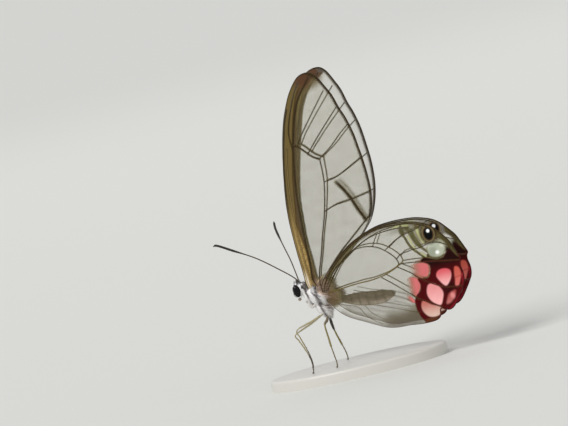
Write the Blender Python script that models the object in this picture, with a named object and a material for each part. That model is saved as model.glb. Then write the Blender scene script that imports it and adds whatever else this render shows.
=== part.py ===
"""A clear-winged pink butterfly at rest with its wings closed upward, life size,
standing on a plain oval display base.

Shapes are worked out in millimetres from the wing root, the point on top of
the thorax where the forewings begin. The head points to -X, the tail to +X,
the insect's left side is -Y and up is +Z. The last step moves every object so
that the origin is the centre of the base's underside, and turns millimetres
into metres.
"""

import math

import bmesh
import bpy
from mathutils import Matrix, Vector
from mathutils.geometry import delaunay_2d_cdt

MM = 0.001
GAP = 0.3

# Base, in millimetres
BASE_LENGTH = 32.0
BASE_WIDTH = 20.0
BASE_THICKNESS = 2.0
BASE_BEVEL = 0.5
BASE_SEGMENTS = 56
ROOT_AHEAD_OF_BASE_CENTRE = 4.0
ROOT_ABOVE_FEET = 14.2

# Thorax, head and abdomen, in millimetres from the wing root
THORAX_CENTRE = Vector((0.1, 0.0, -1.7))
THORAX_RADII = Vector((2.9, 1.95, 2.0))
THORAX_TILT = 25.0
COXA_CENTRE = Vector((0.35, 0.0, -4.1))
COXA_RADII = Vector((1.25, 1.35, 2.3))
COXA_TILT = -28.0
COLLAR_CENTRE = Vector((-1.75, 0.0, -0.5))
COLLAR_RADII = Vector((1.05, 1.25, 1.35))
HEAD_CENTRE = Vector((-3.05, 0.0, 0.3))
HEAD_RADII = Vector((1.0, 1.1, 1.4))
EYE_CENTRE = Vector((-3.4, 0.95, -0.05))
EYE_RADII = Vector((0.64, 0.55, 1.08))
EYE_TILT = -18.0
ABDOMEN_AXIS = [(2.0, -3.2), (3.6, -3.3), (5.2, -3.55), (7.0, -3.9), (9.0, -4.25),
                (11.0, -4.4), (12.4, -4.3), (13.2, -4.1)]
ABDOMEN_RADII = [0.45, 0.52, 0.78, 1.12, 1.29, 1.3, 1.14, 0.42]
ABDOMEN_SEGMENTS = 8
ABDOMEN_GROOVE = 0.07
ABDOMEN_STEP = 0.36

# Wing sheets, in millimetres
MEMBRANE = 0.5
RIDGE_HEIGHT = 0.2
RIDGE_HALF_WIDTH = 0.38
RIDGE_APART = 0.3
VEIN_STEP = 1.7
VEIN_WELD = 0.45
VEIN_FROM_RIM = 0.25
RIM_STEP = 1.3
FILL_STEP = 3.2
FILL_CORNER = Vector((-2.0, -12.0))
FILL_WIDTH = 30.0
FILL_HEIGHT = 50.0
FILL_APART = 1.3
FILL_FROM_RIM = 0.7
FILL_FROM_VEIN = 0.33
FOREWING_LENGTH = 37.0
FOREWING_ROOT_OFFSET = 0.95
FOREWING_TIP_FLARE = 3.6
FOREWING_HIND_FLARE = 1.85
FOREWING_HIND_REACH = 14.0
FOREWING_HIND_FROM = 8.0
FOREWING_HIND_TO = 20.0
HINDWING_ROOT_OFFSET = 2.45
HINDWING_FLARE = 1.95
HINDWING_FLARE_FROM = 14.0
HINDWING_FLARE_REACH = 12.0
HINDWING_PINCH = 1.15
HINDWING_PINCH_AT = Vector((1.8, -1.8))
HINDWING_PINCH_REACH = 1.6

FOREWING_OUTLINE = [
    (-0.9, -0.8), (-1.3, 1.6), (-1.6, 5.2), (-1.7, 9.2), (-1.5, 13.2), (-1.1, 17.2),
    (-0.3, 21.3), (1.2, 27.5), (2.9, 31.7), (5.3, 35.4), (7.1, 36.9), (8.8, 37.0),
    (10.2, 35.6), (11.9, 31.8), (13.1, 27.6), (14.0, 22.2), (14.3, 17.4), (14.1, 13.6),
    (12.8, 10.0), (11.0, 7.7), (8.7, 5.5), (5.3, 3.0), (2.6, 1.0), (1.4, -0.8)]
FOREWING_VEINS = {
    "costa": [(-1.1, 1.6), (-1.45, 5.2), (-1.55, 9.2), (-1.35, 13.2), (-0.95, 17.2),
              (-0.15, 21.3), (1.3, 27.5), (3.0, 31.6), (5.4, 35.2), (7.2, 36.7)],
    "radius": [(0.3, 0.4), (-0.4, 4.5), (-0.5, 8.6), (-0.2, 13.0), (1.5, 21.8), (3.8, 29.6),
               (6.6, 34.2), (8.8, 36.7)],
    "cubitus": [(0.7, 0.5), (2.0, 4.0), (3.5, 8.5), (4.9, 12.4), (6.2, 17.6), (6.5, 21.7)],
    "cell end": [(2.3, 25.0), (3.6, 24.3), (5.1, 22.5), (6.5, 21.8)],
    "first median": [(3.3, 24.5), (6.2, 28.3), (9.0, 31.4), (11.0, 33.8)],
    "second median": [(5.0, 22.8), (7.5, 25.8), (10.0, 28.2), (12.1, 30.2)],
    "third median": [(6.5, 21.8), (9.0, 23.4), (11.3, 25.4), (13.2, 26.8)],
    "first cubital": [(6.2, 17.6), (8.2, 17.9), (10.6, 18.9), (14.1, 20.7)],
    "second cubital": [(4.9, 12.4), (7.1, 13.2), (9.9, 13.5), (14.0, 14.2)],
    "anal": [(1.2, 0.8), (4.8, 3.9), (8.6, 6.9), (12.6, 9.9)]}

HINDWING_OUTLINE = [
    (1.4, -1.0), (2.4, 0.7), (3.9, 2.5), (5.7, 4.3), (8.0, 6.0), (10.5, 7.15), (13.0, 7.75),
    (16.0, 7.85), (19.0, 7.6), (21.2, 7.0), (22.8, 6.1), (24.2, 4.7), (25.4, 3.0),
    (26.3, 1.0), (26.8, -0.5), (26.5, -1.6), (26.7, -3.4), (26.3, -4.9), (25.3, -6.5),
    (23.9, -8.2), (22.7, -8.8), (21.3, -8.4), (20.8, -9.9), (18.0, -10.4), (15.2, -10.1),
    (12.4, -10.0), (9.1, -8.7), (6.4, -7.4), (3.9, -5.7), (2.7, -4.2), (1.5, -2.8)]
HINDWING_VEINS = {
    "costa": [(2.7, 0.6), (4.1, 2.2), (5.9, 4.0), (8.1, 5.7), (10.6, 6.8), (13.0, 7.4),
              (16.0, 7.5), (19.0, 7.3), (21.1, 6.7), (22.6, 5.9)],
    "cell front": [(2.4, -0.3), (4.2, 1.7), (6.6, 4.0), (8.3, 4.7), (10.0, 5.0), (11.8, 4.8),
                   (13.8, 3.5), (15.4, 1.8), (15.7, 0.6)],
    "first median": [(13.8, 3.5), (15.7, 4.8), (18.5, 5.7), (21.6, 6.3)],
    "second median": [(15.5, 1.7), (16.5, 2.3), (18.8, 2.7), (21.4, 3.1), (25.0, 3.2)],
    "third median": [(15.7, 0.6), (18.0, 0.5), (22.0, -0.3), (26.2, -0.8)],
    "first cubital": [(15.2, 0.3), (17.7, -1.5), (20.0, -3.4), (23.0, -4.8), (26.1, -4.9)],
    "second cubital": [(12.1, -0.8), (14.9, -3.5), (17.6, -6.0), (19.7, -7.2), (21.2, -8.3)],
    "cubitus": [(2.6, -1.4), (5.5, -1.2), (8.3, -1.0), (11.7, -0.8), (14.1, -0.2), (15.7, 0.6)],
    "first anal": [(2.8, -2.9), (7.0, -4.7), (11.1, -5.9), (14.5, -7.3), (17.6, -10.0)],
    "second anal": [(3.2, -4.0), (6.2, -6.0), (9.6, -8.6)]}

# Feelers and mouthparts, in millimetres from the wing root
ANTENNA_SHAFT_RADIUS = 0.25
ANTENNA_CLUB_RADIUS = 0.32
ANTENNA_TIP_RADIUS = 0.14
ANTENNA_LEFT = [(-2.8, -0.4, 0.8), (-3.2, -0.6, 2.2), (-5.7, -1.5, 4.7), (-8.8, -2.5, 7.4),
                (-12.4, -3.2, 9.7), (-14.7, -3.5, 11.1), (-15.5, -3.6, 11.15)]
ANTENNA_RIGHT = [(-2.8, 0.4, 0.8), (-2.9, 0.7, 2.0), (-3.8, 2.8, 5.0), (-4.7, 4.6, 7.3),
                 (-5.5, 6.3, 9.3), (-6.1, 7.8, 10.9), (-6.3, 9.0, 12.2)]
CLUB_BEGINS = 0.66
CLUB_SWELLS_OVER = 0.12
TIP_BEGINS = 0.95
PALP_PATH = [(-3.4, 0.4, -1.0), (-4.0, 0.45, -1.2), (-4.35, 0.45, -0.4), (-4.4, 0.42, 0.6),
             (-4.15, 0.36, 1.7)]
PALP_RADII = [0.25, 0.28, 0.28, 0.26, 0.14]
PROBOSCIS_CENTRE = Vector((-3.45, 0.0, -1.75))
PROBOSCIS_RADIUS = 0.45
PROBOSCIS_THICKNESS = 0.25

# Legs: path points (x, y out from the middle, z) and the radius at each
FLOOR = -ROOT_ABOVE_FEET
FORELEG_PATH = [(-0.7, 0.9, -3.0), (-1.5, 1.1, -3.7), (-2.2, 1.05, -3.0), (-2.6, 0.95, -2.0)]
FORELEG_RADII = [0.3, 0.3, 0.27, 0.16]
MIDLEG_LEFT_PATH = [(0.2, 0.8, -5.0), (-1.9, 2.7, -6.0), (-4.6, 5.0, -7.1), (-4.35, 5.0, -8.2),
                    (-3.9, 5.0, -9.3), (-3.3, 5.0, -11.0), (-3.0, 5.0, -12.6), (-3.1, 5.1, FLOOR)]
MIDLEG_RIGHT_PATH = [(0.2, 0.8, -5.0), (-2.6, 2.7, -6.1), (-6.1, 4.9, -7.3), (-5.95, 5.0, -8.8),
                     (-5.5, 5.0, -10.3), (-5.1, 5.0, -11.8), (-4.9, 5.1, -13.2),
                     (-4.9, 5.2, FLOOR)]
HINDLEG_LEFT_PATH = [(0.9, 0.7, -5.6), (0.8, 2.3, -6.2), (0.6, 4.0, -6.7), (0.7, 4.05, -8.8),
                     (0.8, 4.1, -10.4), (0.95, 4.1, -12.0), (1.1, 4.15, -13.2), (1.1, 4.2, FLOOR)]
HINDLEG_RIGHT_PATH = [(0.9, 0.7, -5.6), (0.7, 2.0, -7.0), (0.6, 3.3, -8.3), (0.8, 4.0, -9.8),
                      (1.1, 4.6, -11.4), (1.4, 5.0, -12.9), (1.5, 5.2, FLOOR)]
LEG_RADII = [0.4, 0.34, 0.3, 0.28, 0.27, 0.26, 0.25, 0.25]
FOOT_LENGTH = 1.1
FOOT_RADIUS = 0.26
SOLE_BLOCK = 4.0

COLOURS = {
    "wing": (0.16, 0.14, 0.08, 1.0),
    "body": (0.62, 0.58, 0.56, 1.0),
    "abdomen": (0.20, 0.16, 0.12, 1.0),
    "eye": (0.01, 0.01, 0.012, 1.0),
    "limb": (0.12, 0.09, 0.04, 1.0),
    "base": (0.75, 0.74, 0.70, 1.0)}
ROUGHNESS = {"wing": 0.35, "body": 0.8, "abdomen": 0.7, "eye": 0.12, "limb": 0.5, "base": 0.4}


def clear_scene():
    for item in list(bpy.data.objects):
        bpy.data.objects.remove(item, do_unlink=True)


def finish_material(name):
    material = bpy.data.materials.get(name) or bpy.data.materials.new(name)
    material.use_nodes = True
    shader = material.node_tree.nodes["Principled BSDF"]
    shader.inputs["Base Color"].default_value = COLOURS[name]
    shader.inputs["Roughness"].default_value = ROUGHNESS[name]
    shader.inputs["Metallic"].default_value = 0.0
    return material


def new_object(name, bm):
    mesh = bpy.data.meshes.new(name)
    bm.to_mesh(mesh)
    bm.free()
    item = bpy.data.objects.new(name, mesh)
    bpy.context.scene.collection.objects.link(item)
    return item


def smooth_curve(points, step, closed=False):
    """A Catmull-Rom curve through the points, read about every step."""
    points = [Vector(point) for point in points]
    count = len(points)
    spans = count if closed else count - 1
    result = []
    for index in range(spans):
        start, end = points[index], points[(index + 1) % count]
        before = points[index - 1] if closed or index else start * 2.0 - end
        after_index = index + 2
        if closed:
            after = points[after_index % count]
        elif after_index < count:
            after = points[after_index]
        else:
            after = end * 2.0 - start
        pieces = max(1, round((end - start).length / step))
        for piece in range(pieces):
            t = piece / pieces
            result.append(0.5 * (2.0 * start + (end - before) * t
                                 + (2.0 * before - 5.0 * start + 4.0 * end - after) * t * t
                                 + (3.0 * start - before - 3.0 * end + after) * t ** 3))
    if not closed:
        result.append(points[-1])
    return result


def blend_values(values, count):
    """The values read evenly count times along their list."""
    result = []
    for index in range(count):
        place = index / (count - 1) * (len(values) - 1)
        low = min(int(place), len(values) - 2)
        result.append(values[low] + (values[low + 1] - values[low]) * (place - low))
    return result


def tube(name, points, radii, resolution=2):
    """A closed tube along the points, with its own radius at each."""
    curve = bpy.data.curves.new(name, "CURVE")
    curve.dimensions = "3D"
    curve.bevel_depth = 1.0
    curve.bevel_resolution = resolution
    curve.use_fill_caps = True
    spline = curve.splines.new("POLY")
    spline.points.add(len(points) - 1)
    for spot, point, radius in zip(spline.points, points, radii):
        spot.co = (*point, 1.0)
        spot.radius = radius
    holder = bpy.data.objects.new(name, curve)
    bpy.context.scene.collection.objects.link(holder)
    mesh = bpy.data.meshes.new_from_object(holder.evaluated_get(bpy.context.evaluated_depsgraph_get()))
    bpy.data.objects.remove(holder, do_unlink=True)
    bm = bmesh.new()
    bm.from_mesh(mesh)
    bpy.data.meshes.remove(mesh)
    bmesh.ops.remove_doubles(bm, verts=bm.verts[:], dist=0.001)
    bmesh.ops.recalc_face_normals(bm, faces=bm.faces[:])
    return new_object(name, bm)


def ellipsoid(name, centre, radii, tilt=0.0, extra=0.0, around=24, down=14):
    """An egg with its poles up and down, tilted about Y by degrees."""
    bm = bmesh.new()
    bmesh.ops.create_uvsphere(bm, u_segments=around, v_segments=down, radius=1.0)
    grown = [radius + extra for radius in radii]
    turn = (Matrix.Translation(centre) @ Matrix.Rotation(math.radians(tilt), 4, "Y")
            @ Matrix.Diagonal((*grown, 1.0)))
    bmesh.ops.transform(bm, matrix=turn, verts=bm.verts[:])
    return new_object(name, bm)


def keep_largest_surface(item):
    bm = bmesh.new()
    bm.from_mesh(item.data)
    waiting = set(bm.faces)
    groups = []
    while waiting:
        group = [waiting.pop()]
        for face in group:
            for edge in face.edges:
                for other in edge.link_faces:
                    if other in waiting:
                        waiting.remove(other)
                        group.append(other)
        groups.append(group)
    groups.sort(key=lambda group: sum(face.calc_area() for face in group))
    scraps = [face for group in groups[:-1] for face in group]
    if scraps:
        bmesh.ops.delete(bm, geom=scraps, context="FACES")
    bm.to_mesh(item.data)
    bm.free()


def combine(item, others, operation):
    """Cut the others out of the item, or join them to it, then remove them."""
    group = bpy.data.collections.new("tools")
    for other in others:
        group.objects.link(other)
    step = item.modifiers.new("combine", "BOOLEAN")
    step.operation = operation
    step.solver = "EXACT"
    step.operand_type = "COLLECTION"
    step.collection = group
    evaluated = item.evaluated_get(bpy.context.evaluated_depsgraph_get())
    mesh = bpy.data.meshes.new_from_object(evaluated)
    item.modifiers.remove(step)
    item.data = mesh
    bpy.data.collections.remove(group)
    for other in others:
        bpy.data.objects.remove(other, do_unlink=True)
    keep_largest_surface(item)
    return item


def thorax_pieces(extra=0.0):
    return [ellipsoid("thorax_main", THORAX_CENTRE, THORAX_RADII, THORAX_TILT, extra),
            ellipsoid("thorax_legs", COXA_CENTRE, COXA_RADII, COXA_TILT, extra),
            ellipsoid("thorax_collar", COLLAR_CENTRE, COLLAR_RADII, 0.0, extra, 20, 12)]


def make_thorax():
    pieces = thorax_pieces()
    pieces[0].name = "thorax"
    return combine(pieces[0], pieces[1:], "UNION")


def make_head():
    head = ellipsoid("head", HEAD_CENTRE, HEAD_RADII, 0.0, 0.0, 22, 14)
    return combine(head, thorax_pieces(GAP), "DIFFERENCE")


def make_eye(side, sign):
    centre = Vector((EYE_CENTRE.x, EYE_CENTRE.y * sign, EYE_CENTRE.z))
    eye = ellipsoid("eye_" + side, centre, EYE_RADII, EYE_TILT, 0.0, 20, 12)
    socket = ellipsoid("socket", HEAD_CENTRE, HEAD_RADII, 0.0, GAP, 22, 14)
    return combine(eye, [socket], "DIFFERENCE")


def cut_by_head(item):
    head = ellipsoid("head_space", HEAD_CENTRE, HEAD_RADII, 0.0, GAP, 22, 14)
    return combine(item, [head], "DIFFERENCE")


def make_antenna(side, path):
    points = smooth_curve(path, 1.0)
    radii = []
    for index in range(len(points)):
        along = index / (len(points) - 1)
        swell = min(1.0, max(0.0, (along - CLUB_BEGINS) / CLUB_SWELLS_OVER))
        radius = ANTENNA_SHAFT_RADIUS + (ANTENNA_CLUB_RADIUS - ANTENNA_SHAFT_RADIUS) * swell
        if along > TIP_BEGINS:
            radius = ANTENNA_TIP_RADIUS
        radii.append(radius)
    return cut_by_head(tube("antenna_" + side, points, radii))


def mirrored(path, sign):
    return [(x, y * sign, z) for x, y, z in path]


def make_palp(side, sign):
    points = smooth_curve(mirrored(PALP_PATH, sign), 0.4)
    return cut_by_head(tube("palp_" + side, points, blend_values(PALP_RADII, len(points))))


def make_proboscis():
    """The coiled tongue as one small turned ring, lying in the middle plane."""
    bm = bmesh.new()
    turned = Matrix.Translation(PROBOSCIS_CENTRE) @ Matrix.Rotation(math.pi / 2, 4, "X")
    ring = bmesh.ops.create_circle(bm, segments=6, radius=PROBOSCIS_THICKNESS,
                                   matrix=turned @ Matrix.Translation((PROBOSCIS_RADIUS, 0, 0))
                                   @ Matrix.Rotation(math.pi / 2, 4, "X"))
    edges = {edge for vert in ring["verts"] for edge in vert.link_edges}
    bmesh.ops.spin(bm, geom=ring["verts"] + list(edges), cent=PROBOSCIS_CENTRE, axis=(0, 1, 0),
                   angle=math.tau, steps=16, use_merge=True, use_duplicate=False)
    bmesh.ops.remove_doubles(bm, verts=bm.verts[:], dist=0.001)
    bmesh.ops.recalc_face_normals(bm, faces=bm.faces[:])
    return cut_by_head(new_object("proboscis", bm))


def make_abdomen():
    """A tapering body whose segments are parted by shallow grooves."""
    path = smooth_curve([(x, 0.0, z) for x, z in ABDOMEN_AXIS], ABDOMEN_STEP)
    radii = blend_values(ABDOMEN_RADII, len(path))
    for index, radius in enumerate(radii):
        along = index / (len(path) - 1) * ABDOMEN_SEGMENTS
        radii[index] = radius * (1.0 - ABDOMEN_GROOVE * (2.0 * abs(along % 1.0 - 0.5)) ** 4)
    abdomen = tube("abdomen", path, radii, 3)
    return combine(abdomen, thorax_pieces(GAP), "DIFFERENCE")


def make_leg(name, path, radii, sign, has_foot=True):
    points = smooth_curve(mirrored(path, sign), 0.9)
    leg = tube(name, points, blend_values(radii, len(points)))
    if has_foot:
        end = points[-1]
        foot = tube("foot", [end + Vector((FOOT_LENGTH * step, 0.0, FOOT_RADIUS * 0.6))
                             for step in (-0.55, -0.2, 0.2, 0.55)],
                    [FOOT_RADIUS * 0.7, FOOT_RADIUS, FOOT_RADIUS, FOOT_RADIUS * 0.7])
        combine(leg, [foot], "UNION")
        flatten_sole(leg)
    return combine(leg, thorax_pieces(GAP), "DIFFERENCE")


def flatten_sole(leg):
    """Trim the foot to a small flat at floor level."""
    bm = bmesh.new()
    bmesh.ops.create_cube(bm, size=SOLE_BLOCK)
    low_point = leg.data.vertices[0].co
    for vert in leg.data.vertices:
        if vert.co.z < low_point.z:
            low_point = vert.co
    middle = FLOOR - SOLE_BLOCK / 2.0
    bmesh.ops.translate(bm, verts=bm.verts[:], vec=(low_point.x, low_point.y, middle))
    combine(leg, [new_object("floor_block", bm)], "DIFFERENCE")


def distance_to_line(point, line):
    nearest = 1e9
    for start, end in zip(line, line[1:]):
        run = end - start
        share = max(0.0, min(1.0, (point - start).dot(run) / run.length_squared))
        nearest = min(nearest, (point - start - run * share).length)
    return nearest


def inside(point, outline):
    crossings = False
    for start, end in zip(outline, outline[1:] + outline[:1]):
        if (start.y > point.y) != (end.y > point.y):
            across = start.x + (point.y - start.y) / (end.y - start.y) * (end.x - start.x)
            if point.x < across:
                crossings = not crossings
    return crossings


def ease(value):
    """A smooth step from 0 to 1."""
    value = max(0.0, min(1.0, value))
    return value * value * (3.0 - 2.0 * value)


def forewing_offset(point):
    """How far the sheet stands from the middle plane: more to the tip and hind edge."""
    tip = FOREWING_TIP_FLARE * (point.length / FOREWING_LENGTH) ** 3
    raised = ease((point.y - FOREWING_HIND_FROM) / (FOREWING_HIND_TO - FOREWING_HIND_FROM))
    hind = FOREWING_HIND_FLARE * (max(point.x, 0.0) / FOREWING_HIND_REACH) ** 2 * raised
    return FOREWING_ROOT_OFFSET + tip + hind


def hindwing_offset(point):
    pinch = (point - HINDWING_PINCH_AT).length / HINDWING_PINCH_REACH
    beyond = max(0.0, point.length - HINDWING_FLARE_FROM) / HINDWING_FLARE_REACH
    return (HINDWING_ROOT_OFFSET + HINDWING_FLARE * beyond ** 1.6
            - HINDWING_PINCH * math.exp(-pinch * pinch))


def ridge_feet(veins):
    """Points on both sides of each vein, where its ridge meets the sheet."""
    feet = []
    for vein in veins:
        for start, end in zip(vein, vein[1:]):
            along = (end - start).normalized()
            across = Vector((-along.y, along.x)) * RIDGE_HALF_WIDTH
            feet += [start + across, start - across]
    return feet


def fill_points():
    """Even rows of points, every second row moved by half a step."""
    points = []
    for row in range(int(FILL_HEIGHT / FILL_STEP)):
        for column in range(int(FILL_WIDTH / FILL_STEP)):
            shift = 0.5 * FILL_STEP * (row % 2)
            points.append(Vector((FILL_CORNER.x + column * FILL_STEP + shift,
                                  FILL_CORNER.y + row * FILL_STEP)))
    return points


def wing_plan(outline_points, vein_points):
    """Points and triangles of one wing laid flat, alike for both its faces."""
    outline = smooth_curve(outline_points, RIM_STEP, closed=True)
    veins = [smooth_curve(points, VEIN_STEP) for points in vein_points.values()]
    rim = outline + outline[:1]
    spots = list(outline)
    links = [(index, (index + 1) % len(outline)) for index in range(len(outline))]
    centres = []
    for vein in veins:
        kept = []
        for point in vein:
            near = [index for index in centres if (spots[index] - point).length < VEIN_WELD]
            if near:
                kept.append(near[0])
            elif inside(point, outline) and distance_to_line(point, rim) > VEIN_FROM_RIM:
                spots.append(point)
                centres.append(len(spots) - 1)
                kept.append(len(spots) - 1)
        links += [pair for pair in zip(kept, kept[1:]) if pair[0] != pair[1]]
    extras = [(point, RIDGE_APART, RIDGE_APART, RIDGE_APART) for point in ridge_feet(veins)]
    extras += [(point, FILL_FROM_RIM, FILL_FROM_VEIN, FILL_APART) for point in fill_points()]
    for point, from_rim, from_vein, apart in extras:
        if not inside(point, outline) or distance_to_line(point, rim) < from_rim:
            continue
        if min(distance_to_line(point, vein) for vein in veins) < from_vein:
            continue
        if min((point - spot).length for spot in spots) < apart:
            continue
        spots.append(point)
    result = delaunay_2d_cdt(spots, links, [list(range(len(outline)))], 1, 0.02)
    return [Vector(spot) for spot in result[0]], [list(face) for face in result[2]], veins


def make_wing(name, outline_points, vein_points, offset, sign):
    """A sheet of even thickness whose veins are ridges in both its faces."""
    spots, triangles, veins = wing_plan(outline_points, vein_points)
    bm = bmesh.new()
    sides = []
    for face in (-1.0, 1.0):
        verts = []
        for spot in spots:
            near = min(distance_to_line(spot, vein) for vein in veins)
            ridge = RIDGE_HEIGHT * max(0.0, 1.0 - near / RIDGE_HALF_WIDTH)
            depth = offset(spot) + face * (MEMBRANE / 2.0 + ridge)
            verts.append(bm.verts.new((spot.x, depth * sign, spot.y)))
        for triangle in triangles:
            bm.faces.new([verts[index] for index in triangle])
        sides.append(verts)
    edge_use = {}
    for triangle in triangles:
        for start, end in zip(triangle, triangle[1:] + triangle[:1]):
            key = (min(start, end), max(start, end))
            edge_use[key] = edge_use.get(key, 0) + 1
    inner, outer = sides
    for (start, end), uses in edge_use.items():
        if uses == 1:
            bm.faces.new([inner[start], inner[end], outer[end]])
            bm.faces.new([inner[start], outer[end], outer[start]])
    loose = [vert for vert in bm.verts if not vert.link_faces]
    bmesh.ops.delete(bm, geom=loose, context="VERTS")
    bmesh.ops.recalc_face_normals(bm, faces=bm.faces[:])
    wing = new_object(name, bm)
    return combine(wing, thorax_pieces(GAP), "DIFFERENCE")


def make_base():
    """A flat oval with its upper edge rounded off."""
    bm = bmesh.new()
    bmesh.ops.create_circle(bm, segments=BASE_SEGMENTS, radius=1.0, cap_ends=True)
    bmesh.ops.scale(bm, verts=bm.verts[:], vec=(BASE_LENGTH / 2.0, BASE_WIDTH / 2.0, 1.0))
    raised = bmesh.ops.extrude_face_region(bm, geom=bm.faces[:])["geom"]
    top = [part for part in raised if isinstance(part, bmesh.types.BMVert)]
    bmesh.ops.translate(bm, verts=top, vec=(0.0, 0.0, BASE_THICKNESS))
    rim = [edge for edge in bm.edges if all(vert in top for vert in edge.verts)]
    bmesh.ops.bevel(bm, geom=rim, offset=BASE_BEVEL, segments=3, profile=0.5,
                    affect="EDGES", offset_type="OFFSET", material=-1)
    bmesh.ops.recalc_face_normals(bm, faces=bm.faces[:])
    under = -ROOT_ABOVE_FEET - GAP - BASE_THICKNESS
    bmesh.ops.translate(bm, verts=bm.verts[:], vec=(ROOT_AHEAD_OF_BASE_CENTRE, 0.0, under))
    return new_object("stand_base", bm)


def settle(item, finish):
    """Bring a finished object to metres, with the origin under the base."""
    under = ROOT_ABOVE_FEET + GAP + BASE_THICKNESS
    item.data.transform(Matrix.Scale(MM, 4)
                        @ Matrix.Translation((-ROOT_AHEAD_OF_BASE_CENTRE, 0.0, under)))
    item.data.materials.clear()
    item.data.materials.append(finish_material(finish))
    item.data.shade_smooth()
    item.data.set_sharp_from_angle(angle=math.radians(40.0))
    item.data.update()


def main():
    clear_scene()
    settle(make_base(), "base")
    settle(make_thorax(), "body")
    settle(make_head(), "body")
    settle(make_abdomen(), "abdomen")
    settle(make_proboscis(), "limb")
    settle(make_antenna("left", ANTENNA_LEFT), "limb")
    settle(make_antenna("right", ANTENNA_RIGHT), "limb")
    settle(make_leg("midleg_left", MIDLEG_LEFT_PATH, LEG_RADII, -1.0), "limb")
    settle(make_leg("midleg_right", MIDLEG_RIGHT_PATH, LEG_RADII, 1.0), "limb")
    settle(make_leg("hindleg_left", HINDLEG_LEFT_PATH, LEG_RADII, -1.0), "limb")
    settle(make_leg("hindleg_right", HINDLEG_RIGHT_PATH, LEG_RADII, 1.0), "limb")
    for side, sign in (("left", -1.0), ("right", 1.0)):
        settle(make_eye(side, sign), "eye")
        settle(make_palp(side, sign), "limb")
        settle(make_leg("foreleg_" + side, FORELEG_PATH, FORELEG_RADII, sign, False), "limb")
        settle(make_wing("forewing_" + side, FOREWING_OUTLINE, FOREWING_VEINS,
                         forewing_offset, sign), "wing")
        settle(make_wing("hindwing_" + side, HINDWING_OUTLINE, HINDWING_VEINS,
                         hindwing_offset, sign), "wing")


main()
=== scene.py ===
"""The looks of a pink clear-winged butterfly at rest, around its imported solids.

Shapes are worked out in millimetres from the wing root, as in the part's own
source: the head points to -X, the insect's left side is -Y and up is +Z.
"""

import math

import bmesh
import bpy
import numpy as np
from bpy.props import FloatProperty, FloatVectorProperty, IntProperty, PointerProperty
from mathutils import Matrix, Vector


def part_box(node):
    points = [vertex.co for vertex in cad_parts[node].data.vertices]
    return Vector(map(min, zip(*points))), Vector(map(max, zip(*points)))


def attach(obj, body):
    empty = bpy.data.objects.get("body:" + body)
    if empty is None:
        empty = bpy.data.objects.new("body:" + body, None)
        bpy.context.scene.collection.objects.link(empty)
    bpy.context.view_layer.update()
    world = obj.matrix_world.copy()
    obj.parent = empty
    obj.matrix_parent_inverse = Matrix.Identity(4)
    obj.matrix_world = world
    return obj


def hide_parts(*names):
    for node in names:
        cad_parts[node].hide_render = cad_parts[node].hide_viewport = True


bl_info = {
    "name": "Pink clear-winged butterfly",
    "version": (1, 0, 0),
    "blender": (4, 5, 0),
    "location": "View3D > Sidebar > Butterfly",
    "description": "Wings, body, hair, limbs and stage of a clear-winged butterfly at rest",
    "category": "Object",
}

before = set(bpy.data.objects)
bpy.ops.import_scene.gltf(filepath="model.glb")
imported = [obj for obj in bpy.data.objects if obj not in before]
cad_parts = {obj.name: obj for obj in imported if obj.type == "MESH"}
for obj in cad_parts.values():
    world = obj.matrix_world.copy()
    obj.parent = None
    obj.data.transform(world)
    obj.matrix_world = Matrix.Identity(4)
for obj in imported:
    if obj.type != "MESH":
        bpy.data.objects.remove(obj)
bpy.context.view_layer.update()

# Where the wing root stands in the frame, and the step from millimetres to metres
MM = 0.001
ROOT_AHEAD_OF_BASE_CENTRE = 4.0
ROOT_ABOVE_FEET = 14.2
base_low, base_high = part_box("stand_base")
foot_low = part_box("midleg_left")[0]
ROOT = Vector(((base_low.x + base_high.x) / 2.0 - ROOT_AHEAD_OF_BASE_CENTRE * MM, 0.0,
               foot_low.z + ROOT_ABOVE_FEET * MM))
PLACE = Matrix.Translation(ROOT) @ Matrix.Scale(MM, 4)
FLOOR = -ROOT_ABOVE_FEET
BASE_ROUNDING = 0.5
BASE_TOP = (base_high.z - ROOT.z) / MM

# Camera: turned, raised and rolled as the photograph is
CAMERA_TURN = 11.0
CAMERA_RAISE = 4.0
CAMERA_ROLL = 14.0
CAMERA_DISTANCE = 0.9
CAMERA_SENSOR = 36.0
PICTURE_WIDTH = 568
MM_PER_PIXEL = 0.1754
AIM_ACROSS = -5.613
AIM_UP = 12.804

# Lights, room and floor, in metres and degrees
SUN_FROM = (-0.45, -0.62, 0.7)
SUN_SOFTNESS = 28.0
SOFT_LIGHTS = {"fill": (0.9, -0.8, 0.6), "behind": (-0.2, 0.9, 0.8)}
SOFT_LIGHT_SIZE = 0.9
SOFT_LIGHT_AIM = Vector((0.0, 0.0, 0.025))
ROOM_TINT = (0.97, 0.98, 1.0, 1.0)
ROOM_STRENGTH = 0.56
FLOOR_REACH = 9.0

# Both sides of the insect, with the sign of Y on each
SIDES = (("left", -1.0), ("right", 1.0))

# How far each wing stands from the middle plane, in millimetres
FOREWING_LENGTH = 37.0
FOREWING_ROOT_OFFSET = 0.95
FOREWING_TIP_FLARE = 3.6
FOREWING_HIND_FLARE = 1.85
FOREWING_HIND_REACH = 14.0
FOREWING_HIND_FROM = 8.0
FOREWING_HIND_SPAN = 12.0
HINDWING_ROOT_OFFSET = 2.45
HINDWING_FLARE = 1.95
HINDWING_FLARE_FROM = 14.0
HINDWING_FLARE_REACH = 12.0
HINDWING_PINCH = 1.15
HINDWING_PINCH_AT = (1.8, -1.8)
HINDWING_PINCH_REACH = 1.6
FILM_WRINKLE = 0.03

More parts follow.
